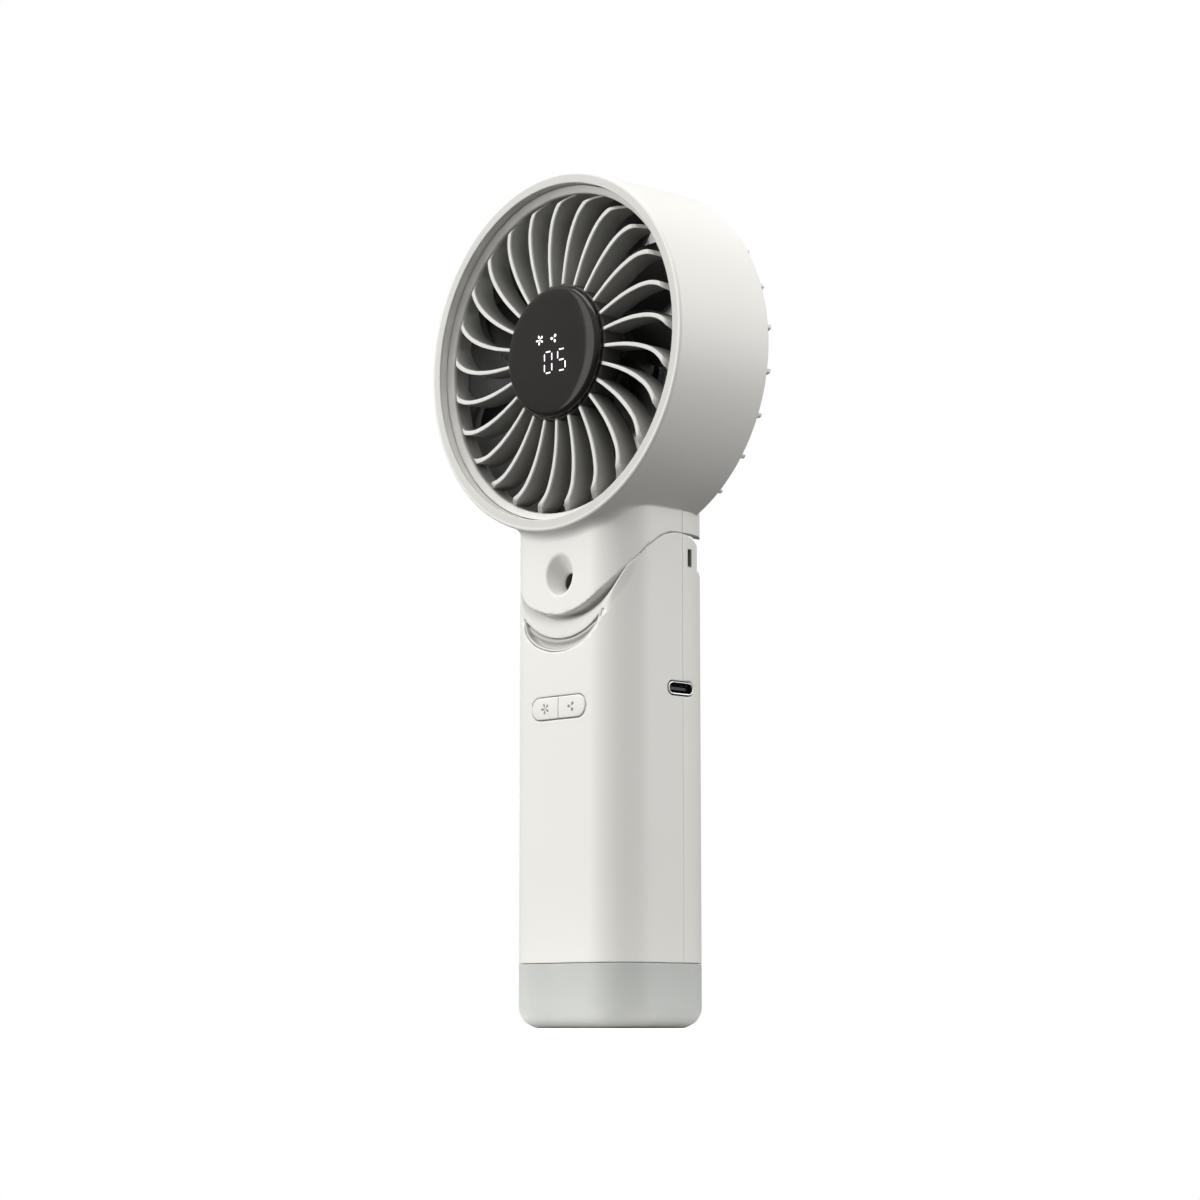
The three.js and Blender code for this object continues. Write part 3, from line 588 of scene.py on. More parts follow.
def mould_finish(nodes, links, shader, roughness, uneven=0.03, gloss=240.0, grain=2600.0, strength=0.12):
    """A slightly uneven gloss and a fine spark-eroded grain, each from noise of its own scale."""
    patches = object_noise(nodes, links, gloss)
    rough = spread(nodes, links, patches, roughness - uneven, roughness + uneven)
    links.new(rough, shader.inputs["Roughness"])
    bump = nodes.new("ShaderNodeBump")
    bump.inputs["Strength"].default_value = strength
    bump.inputs["Distance"].default_value = GRAIN_DEPTH
    links.new(object_noise(nodes, links, grain, 2.0), bump.inputs["Height"])
    links.new(bump.outputs[0], shader.inputs["Normal"])


def plastic(name, dark, light, roughness, grain=2600.0, strength=0.12):
    """Moulded plastic with a slow drift of colour."""
    material, nodes, links, shader = new_material(name)
    drift = object_noise(nodes, links, 18.0, 2.0)
    links.new(tinted(nodes, links, drift, dark, light), shader.inputs["Base Color"])
    mould_finish(nodes, links, shader, roughness, grain=grain, strength=strength)
    return material


def painted_shade_plastic():
    """Shell plastic with shade painted into its colour; each point's tone_and_painted_shade, from 0 to 1, says how
    light it is, low where shade is painted.
    """
    material, nodes, links, shader = new_material("painted_shade_plastic")
    tone_and_painted_shade = nodes.new("ShaderNodeAttribute")
    tone_and_painted_shade.attribute_name = "tone_and_painted_shade"
    drift = object_noise(nodes, links, 18.0, 2.0)
    light = tinted(nodes, links, drift, SHELL_SHADE, SHELL_LIGHT)
    links.new(mixed(nodes, links, tone_and_painted_shade.outputs["Fac"], PAINTED_SHADE_COLOUR, light), shader.inputs["Base Color"])
    mould_finish(nodes, links, shader, 0.42)
    return material


def frosted_plastic():
    """Milky lamp cover, with painted light making its rounded foot paler."""
    material, nodes, links, shader = new_material("frosted_plastic")
    drift = object_noise(nodes, links, 30.0, 2.0)
    milk = tinted(nodes, links, drift, (0.555, 0.572, 0.552), (0.585, 0.600, 0.580))
    split = nodes.new("ShaderNodeSeparateXYZ")
    links.new(object_place(nodes), split.inputs[0])
    # Painted light: the cover pales towards its foot as if lit from below.
    foot = map_range(nodes, links, split.outputs["Z"], (0.0, 0.0058), (1.0, 0.0))
    foot.node.interpolation_type = "SMOOTHSTEP"
    links.new(mixed(nodes, links, foot, milk, (0.86, 0.87, 0.85)), shader.inputs["Base Color"])
    shader.inputs["Subsurface Weight"].default_value = 0.7
    shader.inputs["Subsurface Radius"].default_value = (0.004, 0.004, 0.004)
    shader.inputs["Subsurface Scale"].default_value = 1.0
    mould_finish(nodes, links, shader, 0.51, uneven=0.05, gloss=400.0, grain=3800.0, strength=0.25)
    return material


def lens_glass():
    material, nodes, links, shader = new_material("lens_gloss")
    drift = object_noise(nodes, links, 60.0, 2.0)
    tint = tinted(nodes, links, drift, (0.014, 0.012, 0.011), (0.018, 0.015, 0.014))
    links.new(tint, shader.inputs["Base Color"])
    smear = object_noise(nodes, links, 90.0)
    links.new(spread(nodes, links, smear, 0.04, 0.07), shader.inputs["Roughness"])
    return material


def lit_print():
    """The lit marks of the display."""
    material, nodes, links, shader = new_material("lit_print")
    shader.inputs["Base Color"].default_value = (0.9, 0.9, 0.9, 1)
    glow = object_noise(nodes, links, 900.0)
    links.new(spread(nodes, links, glow, 0.95, 1.15), shader.inputs["Emission Strength"])
    shader.inputs["Emission Color"].default_value = (0.93, 0.96, 1.0, 1)
    return material


def metal(name, dark, light, roughness, streak=(1, 1, 1)):
    """Metal with a fine drawn grain; streak stretches the grain along an axis."""
    material, nodes, links, shader = new_material(name)
    stretch = nodes.new("ShaderNodeMapping")
    stretch.inputs["Scale"].default_value = streak
    links.new(object_place(nodes), stretch.inputs["Vector"])
    noise = nodes.new("ShaderNodeTexNoise")
    noise.inputs["Scale"].default_value = METAL_GRAIN
    links.new(stretch.outputs[0], noise.inputs["Vector"])
    grain = noise.outputs["Fac"]
    links.new(tinted(nodes, links, grain, dark, light), shader.inputs["Base Color"])
    rough = spread(nodes, links, grain, roughness - 0.06, roughness + 0.06)
    links.new(rough, shader.inputs["Roughness"])
    shader.inputs["Metallic"].default_value = 1.0
    return material


PLASTICS = {
    "dark_plastic": ("dark_plastic", (0.035, 0.034, 0.032), (0.045, 0.044, 0.041), 0.34),
    "white_plastic": ("white_plastic", (0.86, 0.86, 0.84), (0.9, 0.9, 0.88), 0.35),
    "black_plastic": ("black_plastic", (0.012, 0.012, 0.012), (0.02, 0.02, 0.02), 0.4),
    "shell": ("shell_plastic", SHELL_SHADE, SHELL_LIGHT, 0.42),
    "icon": ("icon_print", (0.30, 0.30, 0.285), (0.34, 0.34, 0.325), 0.5),
    "circuit_board": ("circuit_board", (0.008, 0.026, 0.016), (0.014, 0.038, 0.022), 0.35, 700.0, 0.3),
    "battery_wrap": ("battery_wrap", (0.06, 0.17, 0.36), (0.08, 0.2, 0.42), 0.3, 900.0, 0.1),
    "led": ("led_phosphor", (0.8, 0.7, 0.3), (0.86, 0.78, 0.4), 0.4, 3000.0, 0.2),
}
METALS = {
    "steel": ("plated_steel", (0.55, 0.55, 0.56), (0.68, 0.68, 0.69), 0.26),
    "magnet": ("magnet_metal", (0.16, 0.16, 0.17), (0.24, 0.24, 0.25), 0.4),
    "copper": ("copper_wire", (0.5, 0.2, 0.09), (0.68, 0.32, 0.16), 0.3, (1, 6, 1)),
}
FINISHES = {
    "painted_shade": painted_shade_plastic(),
    "diffuser": frosted_plastic(),
    "display": lens_glass(),
    "lit": lit_print(),
    **{finish: plastic(*look) for finish, look in PLASTICS.items()},
    **{finish: metal(*look) for finish, look in METALS.items()},
}


def finish_cad_nodes():
    """Every node that stays shown takes the finish of its slot."""
    for row in frame["record"]["subparts"]:
        node = frame["nodes"][row["node"]]
        node.data.materials.clear()
        node.data.materials.append(FINISHES[row["material_slot"]])


# ---- shared shapes

def prism(x, y, inset=0.0):
    """The handle's outline, drawn in by an inset."""
    return rounded_box(x, y, HALF_WIDTH - inset, -FRONT - inset, CORNER - inset)


def hinge_radius(y, z):
    return np.hypot(y - HINGE_Y, z - HINGE_Z)


def past_angle(y, z, degrees):
    """Distance beyond a plane through the hinge; degrees go from straight up towards the front."""
    turn = math.radians(degrees)
    return (HINGE_Y - y) * math.cos(turn) - (z - HINGE_Z) * math.sin(turn)


def bowl(x, y, z, grow):
    """Round hollow between the ears, swollen towards its middle."""
    share = np.clip(np.abs(x) / EAR_INNER_X, 0, 1)
    return hinge_radius(y, z) - (EAR_RADIUS + BOWL_SWELL * (1 - share ** 4) + grow)


def barrel(x, y, z, shrink=0.0):
    side = np.abs(x)
    radius = np.interp(side, [10.5, 15.0, CHEEK_X], [13.0, 11.6, 9.1])
    return both(hinge_radius(y, z) - radius + shrink, side - CHEEK_X + shrink)


def past_tongue(x, z):
    """Distance outside the arc of the tongue."""
    return np.hypot(x, z - TONGUE_Z) - TONGUE_RADIUS


def parting(x, z, grow=0.0):
    """Negative on the tongue side of the parting line."""
    return np.minimum(past_tongue(x, z) - grow, TONGUE_Z - z)


def before_seam(shape, y):
    return both(shape, y - SEAM_Y + SEAM_GAP, SEAM_EDGE)


def behind_seam(shape, y):
    return both(shape, SEAM_Y + SEAM_GAP - y, SEAM_EDGE)


def ear_sweep(x, y, z, grow=0.0):
    """Negative below the parting line at the ears, where the tongue's arc flows into the ear's."""
    flow = 1.3 * (1 - smoothstep(z, 122.5, 125.0))
    below = either(-parting(x, z) - grow, hinge_radius(y, z) - EAR_RADIUS - grow, flow)
    return both(both(below, y - HINGE_Y), CHEEK_X + grow - np.abs(x))


def upright_oval(shape, x, z, grow=0.0):
    centre, a, b = shape
    return oval(x, z - centre, a + grow, b + grow)


def scoop(x, y, z):
    """Hollow below the tongue, deep beside it and shallow at the lower ridge."""
    deepening = SCOOP_DEPTH * np.exp(-past_tongue(x, z) / SCOOP_REACH)
    floor = FRONT + SCOOP_STEP + deepening
    slope = np.hypot(1, deepening / SCOOP_REACH)
    return both((y - floor) / slope, upright_oval(RIDGE, x, z))


def button_outline(x, z, grow=0.0):
    half_x, half_z = BUTTON_HALF
    return rounded_box(x, z - BUTTON_Z, half_x + grow, half_z + grow, half_z + grow)


def folded_handle(x, y, z):
    """Room for the handle when the head lies folded back."""
    reach = REAR - HINGE_Y + FOLD_ROOM
    outline = rounded_box(x, z - HINGE_Z, HALF_WIDTH + FOLD_ROOM, reach, CORNER + FOLD_ROOM)
    return both(outline, HINGE_Y - y)


# ---- handle

def handle_outside(x, y, z):
    side = np.abs(x)
    wall = prism(x, y)
    between_ears = side - EAR_INNER_X
    front = cut(wall, parting(x, z, GAP))
    front = cut(front, both(between_ears, HINGE_Z + 4 - z))
    front = cut(front, both(HINGE_Y - 1 - y, REAR_WALL_TOP - z))
    back = both(both(wall, z - REAR_WALL_TOP, 0.9), -y)
    ears = both(both(wall, hinge_radius(y, z) - EAR_RADIUS), -between_ears)
    ears = cut(ears, both(EAR_REAR_Y - y, REAR_WALL_TOP - 2 - z), 0.9)
    flow = both(both(wall, ear_sweep(x, y, z, -GAP)), HINGE_Z - 8 - z)
    whole = either(either(either(front, back), ears), flow)
    return both(whole, LAMP_TOP + GAP - z, 0.15)


def handle_field(x, y, z):
    """Both halves of the handle: the outside less its rooms and openings, each with its edge's rounding."""
    side = np.abs(x)
    room = either(prism(x, y, WALL), y)
    slot_y, slot_z = LANYARD_SLOT
    crescent = both(upright_oval(CRESCENT, x, z), -upright_oval(CRESCENT_TOP, x, z))
    scoop_edge = 0.35 + 0.5 * smoothstep(past_tongue(x, z), 1.5, 4.0)
    openings = (
        (both(prism(x, y, WALL), z - CAVITY_TOP), 0),
        (both(both(bowl(x, y, z, GAP), side - EAR_INNER_X), room), 0),
        (scoop(x, y, z), scoop_edge),
        (both(crescent, y - FRONT - 3.4), 0.12),
        (both(np.hypot(x, z - NOTCH_Z) - NOTCH_RADIUS, NOTCH_FRONT - y), 0.4),
        (both(button_outline(x, z), y - FRONT - 4), 0.2),
        (both(rounded_box(y - USB_Y, z - USB_Z, 4.8, 1.95, 1.9), 15 - x), 0.25),
        (both(rounded_box(y - slot_y, z - slot_z, 0.65, 2.25, 0.5), EAR_INNER_X - 1 - side), 0.15),
        (both(hinge_radius(y, z) - PIN_RADIUS - 0.3, side - PIN_REACH), 0),
    )
    shape = handle_outside(x, y, z)
    for opening, edge in openings:
        shape = cut(shape, opening, edge)
    return shape


def front_half(x, y, z):
    return before_seam(handle_field(x, y, z), y)


def rear_half(x, y, z):
    return behind_seam(handle_field(x, y, z), y)


def make_handle():
    across = mirrored((0, 0.6), (16, 0.5), (22.8, 0.3))
    up = graded((16.2, 0.12), (17, 0.3), (25, 3), (68, 3), (77, 0.4), (92, 0.4), (95, 0.4), (128, 0.4))
    deep = graded((-18.8, 0.25), (-17.2, 0.3), (-13, 0.5), (-4, 0.7), (3.6, 0.5), (4.2, 0.1), (4.6, 0.1))
    shape = contour(front_half, (across, deep, up))
    x, y, z = shape[0].T
    # Painted shade: the scoop below the tongue is a tenth darker.
    near_front = 1 - smoothstep(y, FRONT + 7, FRONT + 9)
    hollow = smoothstep(-upright_oval(RIDGE, x, z), 0.0, 0.8) * near_front * (parting(x, z) > 0)
    add_piece("front_casing", "handle", "painted_shade", shape, ["handle_front_shell"], 1 - 0.1 * hollow)

    deep = graded((4.2, 0.1), (4.6, 0.1), (5.2, 0.5), (14, 0.5), (18.6, 0.3))
    shape = contour(rear_half, (across, deep, up))
    x, y, z = shape[0].T
    slot_y, slot_z = LANYARD_SLOT
    # Painted shade: the lanyard slot is darkened.
    slot = (np.abs(y - slot_y) < 0.8) & (np.abs(z - slot_z) < 2.4) & (np.abs(np.abs(x) - 20) < 2.7)
    add_piece("rear_casing", "handle", "painted_shade", shape, ["handle_rear_shell"], np.where(slot, 0.3, 1))


def insert_waves(x, z):
    """Ridges along the crescent's length, from -1 to 1."""
    return np.cos(upright_oval(CRESCENT_TOP, x, z) * 2 * math.pi / INSERT_PITCH)


def insert_field(x, y, z):
    """Grip insert in the crescent: a thin lip round a floor with soft ridges along its length."""
    inner = upright_oval(CRESCENT, x, z, -INSERT_GAP)
    edge = np.maximum(inner, -upright_oval(CRESCENT_TOP, x, z, 0.12))
    floor = INSERT_FLOOR + 0.2 * insert_waves(x, z)
    depth = INSERT_LIP + (floor - INSERT_LIP) * smoothstep(-inner, 0.45, 0.75)
    return both(both(edge, (depth + prism(x, y)) * 0.85, 0.15), y - FRONT - 3.2)


def make_insert():
    across = mirrored((0, 0.3), (14.8, 0.25))
    deep = graded((FRONT - 0.3, 0.2), (FRONT + 2.2, 0.25), (FRONT + 3.5, 0.3))
    up = graded((95.8, 0.2), (107.4, 0.22))
    shape = contour(insert_field, (across, deep, up))
    x, _, z = shape[0].T
    # The floor is darker than the lip, partly the insert's own grey and partly painted shade in the recess; its
    # grooves are painted darker as shade.
    from_edge = -upright_oval(CRESCENT, x, z, -INSERT_GAP)
    tone_and_painted_shade = 0.88 - (0.34 + 0.07 * insert_waves(x, z)) * smoothstep(from_edge, 0.35, 0.6)
    add_piece("grip_panel", "handle", "painted_shade", shape, ["grip_insert"], tone_and_painted_shade)


def lamp_field(x, y, z):
    outside = both(prism(x, y), -z, LAMP_ROUND)
    outside = both(outside, z - LAMP_TOP, 0.25)
    lip = both(prism(x, y, WALL + 0.3), z - LAMP_TOP - 3)
    hollow = both(prism(x, y, LAMP_WALL), LAMP_WALL - z, 1.2)
    hollow = either(both(hollow, z - 13), both(prism(x, y, 3.5), LAMP_WALL - z))
    return cut(either(outside, both(lip, 8 - z)), hollow)


def make_lamp():
    across = mirrored((0, 0.9), (10, 0.7), (22.8, 0.45))
    deep = mirrored((0, 0.9), (6, 0.7), (18.6, 0.45))
    up = graded(
        (-0.3, 0.25), (3.4, 0.5), (6.4, 0.8), (8, 1.2), (12, 1.2), (15.5, 0.2), (16.7, 0.2), (19.7, 0.6),
    )
    shape = contour(lamp_field, (across, deep, up))
    add_piece("lamp_cover", "handle", "diffuser", shape, ["lamp_diffuser"])


# ---- controls

def button_front(z):
    """Depth of the buttons' slightly crowned face."""
    return BUTTON_FACE + BUTTON_CROWN * (z - BUTTON_Z) ** 2


def button_field(side):
    """Cap, the flange that holds it in and the nib that meets its switch."""
    def field(x, y, z):
        outline = button_outline(x, z, -BUTTON_CLEARANCE)
        cap = both(both(outline, button_front(z) - y, 0.3), y - FRONT - 3)
        flange = both(button_outline(x, z, BUTTON_FLANGE), slab(y, FRONT + WALL + 0.5, FRONT + 3))
        half = both(either(cap, flange), 0.07 - side * x, 0.2)
        nib = both(np.hypot(x - side * 5, z - BUTTON_Z) - 1.3, slab(y, FRONT + 2, -14.75))
        return either(half, nib)
    return field


def make_buttons():
    deep = graded((BUTTON_FACE - 0.3, 0.12), (FRONT + 0.6, 0.2), (FRONT + 4, 0.4))
    up = graded((BUTTON_Z - 4.3, 0.25), (BUTTON_Z + 4.3, 0.25))
    for side, name in ((-1, "button_fan"), (1, "button_mode")):
        across = np.sort(side * graded((-0.2, 0.1), (0.6, 0.2), (2, 0.35), (7, 0.35), (11.4, 0.2)))
        shape = contour(button_field(side), (across, deep, up))
        add_piece(name + "_cap", name, "shell", shape, [name])


def plates(outlines, surface):
    """Closed thin plates, one for each outline, just proud of the surface y = surface(x, z)."""
    vertices, faces = [], []
    for outline in outlines:
        base, n = len(vertices), len(outline)
        for lift in (-PLATE_PROUD, PLATE_DEPTH - PLATE_PROUD):
            vertices.extend((x, surface(x, z) + lift, z) for x, z in outline)
        faces.append([base + k for k in range(n)])
        faces.append([base + n + k for k in reversed(range(n))])
        for k in range(n):
            j = (k + 1) % n
            faces.append([base + k, base + n + k, base + n + j, base + j])
    area = sum(u[0] * v[1] - v[0] * u[1] for u, v in zip(outlines[0], outlines[0][1:] + outlines[0][:1]))
    if area < 0:
        faces = [face[::-1] for face in faces]
    return vertices, faces


def petal(centre, angle, start, length, width):
    """Leaf outline from a hub outwards; the angle is clockwise from up."""
    turn = math.radians(angle)
    along = (math.sin(turn), math.cos(turn))
    across = (along[1], -along[0])
    points = []
    for k in range(14):
        t = 2 * math.pi * k / 14
        a = start + length / 2 - length / 2 * math.cos(t)
        b = -width / 2 * math.sin(t) * (0.75 + 0.45 * (a - start) / length)
        points.append((centre[0] + a * along[0] + b * across[0], centre[1] + a * along[1] + b * across[1]))
    return points


def disc_outline(centre, radius):
    turns = [2 * math.pi * k / 16 for k in range(16)]
    return [(centre[0] + radius * math.cos(t), centre[1] + radius * math.sin(t)) for t in turns]


def rotor_icon(centre, size):
    """Five-bladed rotor."""
    blades = [petal(centre, 72 * k + 48, 0.14 * size, 0.36 * size, 0.20 * size) for k in range(5)]
    return blades + [disc_outline(centre, 0.07 * size)]


def breeze_icon(centre, size):
    """Three leaves and a dot."""
    leaves = [petal(centre, 120 * k + 35, 0.12 * size, 0.38 * size, 0.30 * size) for k in range(3)]
    return leaves + [disc_outline((centre[0] - 0.33 * size, centre[1] - 0.05 * size), 0.07 * size)]


def make_button_icons():
    icons = {
        "button_fan": rotor_icon((-4.85, BUTTON_Z), 2.9),
        "button_mode": breeze_icon((4.9, BUTTON_Z), 2.7),
    }
    for body, outlines in icons.items():
        add_piece(body + "_mark", body, "icon", plates(outlines, lambda x, z: button_front(z)))


def usb_field(x, y, z):
    outer = rounded_box(y - USB_Y, z - USB_Z, 4.5, 1.65, 1.6)
    inner = rounded_box(y - USB_Y, z - USB_Z, 4.12, 1.27, 1.22)
    tube = both(outer, slab(x, USB_LOW[0], HALF_WIDTH + 0.12), 0.12)
    return cut(tube, both(inner, 15.2 - x), 0.1)


def make_usb():
    along = graded((14.3, 0.3), (15.6, 0.4), (21.8, 0.5), (22.3, 0.1), (22.8, 0.1))
    deep = graded((USB_Y - 4.8, 0.15), (USB_Y - 2.6, 0.3), (USB_Y + 2.6, 0.3), (USB_Y + 4.8, 0.15))
    up = graded((USB_Z - 1.95, 0.13), (USB_Z + 1.95, 0.13))
    shape = contour(usb_field, (along, deep, up))
    add_piece("usb_rim", "handle", "steel", shape, ["usb_c_shell"])


# ---- head

def drum(radius, y):
    """The drum's wall in the plane of radius and depth."""
    tube = both(radius - DRUM_RADIUS, slab(y, DRUM_FRONT, DRUM_REAR), 0.75)
    inner = np.where(y > LEDGE_Y, LEDGE_BORE, DRUM_BORE - 2.0 * smoothstep(-y, 10.0, 11.2))
    opening = np.where(y < GRILLE_BACK + 0.3, radius - RING_OUTER - 0.25, radius - inner)
    return cut(tube, opening, 0.3)


def funnel(x, y, z):
    """Funnel on the tongue that drops and narrows to a bore into the hollow neck."""
    depth = y - FRONT
    share = np.clip(depth / FUNNEL_DEPTH, 0, 1)
    centre = FUNNEL_Z - FUNNEL_DROP * share
    radius = FUNNEL_RADIUS - (FUNNEL_RADIUS - BORE_RADIUS) * share ** 0.9
    return both((np.hypot(x, (z - centre) / 1.08) - radius) * 0.85, depth - FUNNEL_DEPTH - 4)


def neck(x, y, z):
    side = np.abs(x)
    skirt = both(both(prism(x, y), parting(x, z)), z - NECK_TOP)
    skirt = cut(skirt, both(hinge_radius(y, z) - EAR_RADIUS - GAP, CHEEK_X - side))
    skirt = cut(skirt, ear_sweep(x, y, z))
    cheeks = both(both(side - CHEEK_X, y - HINGE_Y), z - TONGUE_Z)
    skirt = cut(skirt, cut(both(prism(x, y, WALL), z - 136), cheeks))
    swept = both(cut(hinge_radius(y, z) - BARREL_REACH, barrel(x, y, z)), side - EAR_INNER_X)
    swept = both(both(swept, past_angle(y, z, 35)), HINGE_Y - 5.1 - y)
    skirt = cut(skirt, swept)
    skirt = cut(skirt, folded_handle(x, y, z))
    return before_seam(skirt, y)


def tongue_end(x, y, z):
    """Rolled lower end of the tongue and the barrel on the hinge axis."""
    side = np.abs(x)
    roll = both(both(bowl(x, y, z, 0), side - CHEEK_X), -past_angle(y, z, 30))
    roll = both(roll, past_angle(y, z, 205))
    webs = both(both(side - CHEEK_X, slab(y, HINGE_Y - 24, HINGE_Y)), slab(z, HINGE_Z, 130))
    webs = both(both(webs, -past_angle(y, z, 30)), both(prism(x, y), parting(x, z)))
    return either(either(roll, webs), barrel(x, y, z))


def head_field(x, y, z):
    side = np.abs(x)
    radius = np.hypot(x, z - DRUM_Z)
    behind_wall = both(prism(x, y, WALL), past_tongue(x, z) + WALL)
    behind_wall = both(both(behind_wall, side - CHEEK_X + WALL), y - HINGE_Y)
    inside_roll = both(both(bowl(x, y, z, -WALL), side - CHEEK_X + WALL), -past_angle(y, z, 30))
    inside_roll = both(inside_roll, past_angle(y, z, 198))
    hollow = cut(either(behind_wall, inside_roll), barrel(x, y, z))
    shape = cut(either(neck(x, y, z), tongue_end(x, y, z)), hollow)
    funnel_wall = cut(funnel(x, y, z) - 1.5, hinge_radius(y, z) - 12)
    shape = either(shape, both(both(funnel_wall, y - FRONT - FUNNEL_DEPTH - 2), FRONT + 1 - y))
    shape = cut(shape, funnel(x, y, z), 0.3)
    shape = cut(shape, barrel(x, y, z, WALL))
    shape = cut(shape, hinge_radius(y, z) - PIN_RADIUS - 0.08)
    shape = cut(shape, radius - DRUM_RADIUS + 1)
    fillet = 0.35 + 2.4 * smoothstep(-y, 10.0, 18.0)
    return either(shape, drum(radius, y), fillet)


def make_head():
    turn = full_turn((0, 2.5), (140, 2.5), (152, 0.45), (208, 0.45), (220, 2.5), (360, 2.5))
    deep = graded(
        (DRUM_FRONT - 0.3, 0.15), (DRUM_FRONT + 1.2, 0.25), (-17.6, 0.4), (-12.6, 0.4), (-9.5, 0.5),
        (3.6, 0.8), (4.2, 0.12), (4.6, 0.12), (6, 0.6), (8.0, 0.3), (8.6, 0.3), (10.6, 0.3), (11.6, 0.2),
        (16.4, 0.5),
    )
    out = graded((42, 0.4), (44, 0.25), (47.8, 0.25), (52, 0.5), (81.5, 0.5))
    shape = contour(head_field, (turn, deep, out), round_drum, wraps=True)
    x, y, z = shape[0].T
    radius = np.hypot(x, z - DRUM_Z)
    # Painted shade: the rim's front face a quarter darker, the drum's inside and the bore into the neck near
    # black.
    rim = (1 - smoothstep(radius, 46.35, 46.75)) * (1 - smoothstep(y, DRUM_FRONT + 0.3, DRUM_FRONT + 0.7))
    drum_inside_shade = smoothstep(y, GRILLE_BACK, GRILLE_BACK + 0.5) * (1 - smoothstep(radius, 45.8, 46.2))
    bore = (np.hypot(x, z - 115) < 6) & (y > FRONT + FUNNEL_DEPTH + 0.3) & (y < HINGE_Y)
    tone_and_painted_shade = np.where(radius < DRUM_RADIUS + 0.1, 1 - 0.25 * rim - 0.97 * drum_inside_shade, 1)
    tone_and_painted_shade = np.where(bore, 0.1, tone_and_painted_shade)
    add_piece("head_housing", "head", "painted_shade", shape, ["head_shell"], tone_and_painted_shade)


# ---- grilles

def vane_turn(line, radius):
    """Angle of a grid line: lines crowd to within VANE_REACH of each vane and spread out between vanes."""
    vane = np.round(line)
    local = line - vane
    near = np.clip(local / VANE_CROWD, -1, 1) * VANE_REACH / radius
    away = np.clip((np.abs(local) - VANE_CROWD) / (0.5 - VANE_CROWD), 0, 1)
    return vane * STEP + near + np.sign(local) * away * (STEP / 2 - VANE_REACH / radius)


def vane_lines():
    local = np.concatenate([np.linspace(-VANE_CROWD, VANE_CROWD, 15), [0.4, 0.5, 0.6]])
    lines = (np.arange(VANES)[:, None] + local[None, :]).ravel()
    return np.append(lines, lines[:2] + VANES)


def across_vane(x, z, bend):
    """Distance from the middle of the nearest vane."""
    radius = np.hypot(x, z - DRUM_Z)
    angle = np.arctan2(x, z - DRUM_Z) - bend(radius)
    angle = angle - STEP * np.round(angle / STEP)
    tilt = radius * (bend(radius + 0.2) - bend(radius - 0.2)) / 0.4
    return radius * angle / np.hypot(1, tilt)


def vane_bend(radii, degrees, phase=0.0):
    """Angle of a vane at each radius, from a table whose corners are eased."""
    def bend(radius):
        shifts = (-1.2, -0.6, 0, 0.6, 1.2)
        return sum(np.radians(np.interp(radius + shift, radii, degrees)) for shift in shifts) / 5 + phase
    return bend


FRONT_BEND = vane_bend(
    [17, 20, 24, 27, 30, 33, 36, 38, 40, 42.5, 45],
    [0, 0.1, 0.5, 1.1, 2.0, 3.2, 4.75, 6.4, 8.5, 13.0, 18.0],
    STEP / 2,
)
REAR_BEND = vane_bend([17, 27, 36.5, 46], [0, -2.8, -7.8, -16.2])


def vane_front(radius):
    """Depth of a vane's front edge: level, then falling away near the ring."""
    return GRILLE_FRONT + 3.4 * np.clip((radius - 39.9) / 2.6, 0, 1) ** 1.3


def vane_field(x, y, z):
    radius = np.hypot(x, z - DRUM_Z)
    half = np.interp(radius, [18, 30, 40, 43], [0.44, 0.52, 0.58, 0.48])
    vane = both(np.abs(across_vane(x, z, FRONT_BEND)) - half, vane_front(radius) - y, 0.13)
    vane = both(vane, y - GRILLE_BACK - 0.2)
    vane = both(vane, slab(radius, 17, 43))
    ring_front = GRILLE_FRONT + 1.7 - 1.3 * np.clip((radius - RING_INNER) / 1.8, 0, 1)
    ring = both(slab(radius, RING_INNER, RING_OUTER), slab(y, ring_front, GRILLE_BACK), 0.25)
    cup = both(radius - LENS_RADIUS - 0.35, slab(y, GRILLE_FRONT + 0.3, GRILLE_BACK), 0.2)
    pocket = both(radius - LENS_RADIUS + 1.2, y - GRILLE_BACK + 1.4)
    return cut(either(either(vane, ring, 0.12), cup, 0.2), pocket)


def vane_place(bend):
    def place(line, y, radius):
        return round_drum(vane_turn(line, radius) + bend(radius), y, radius)
    return place


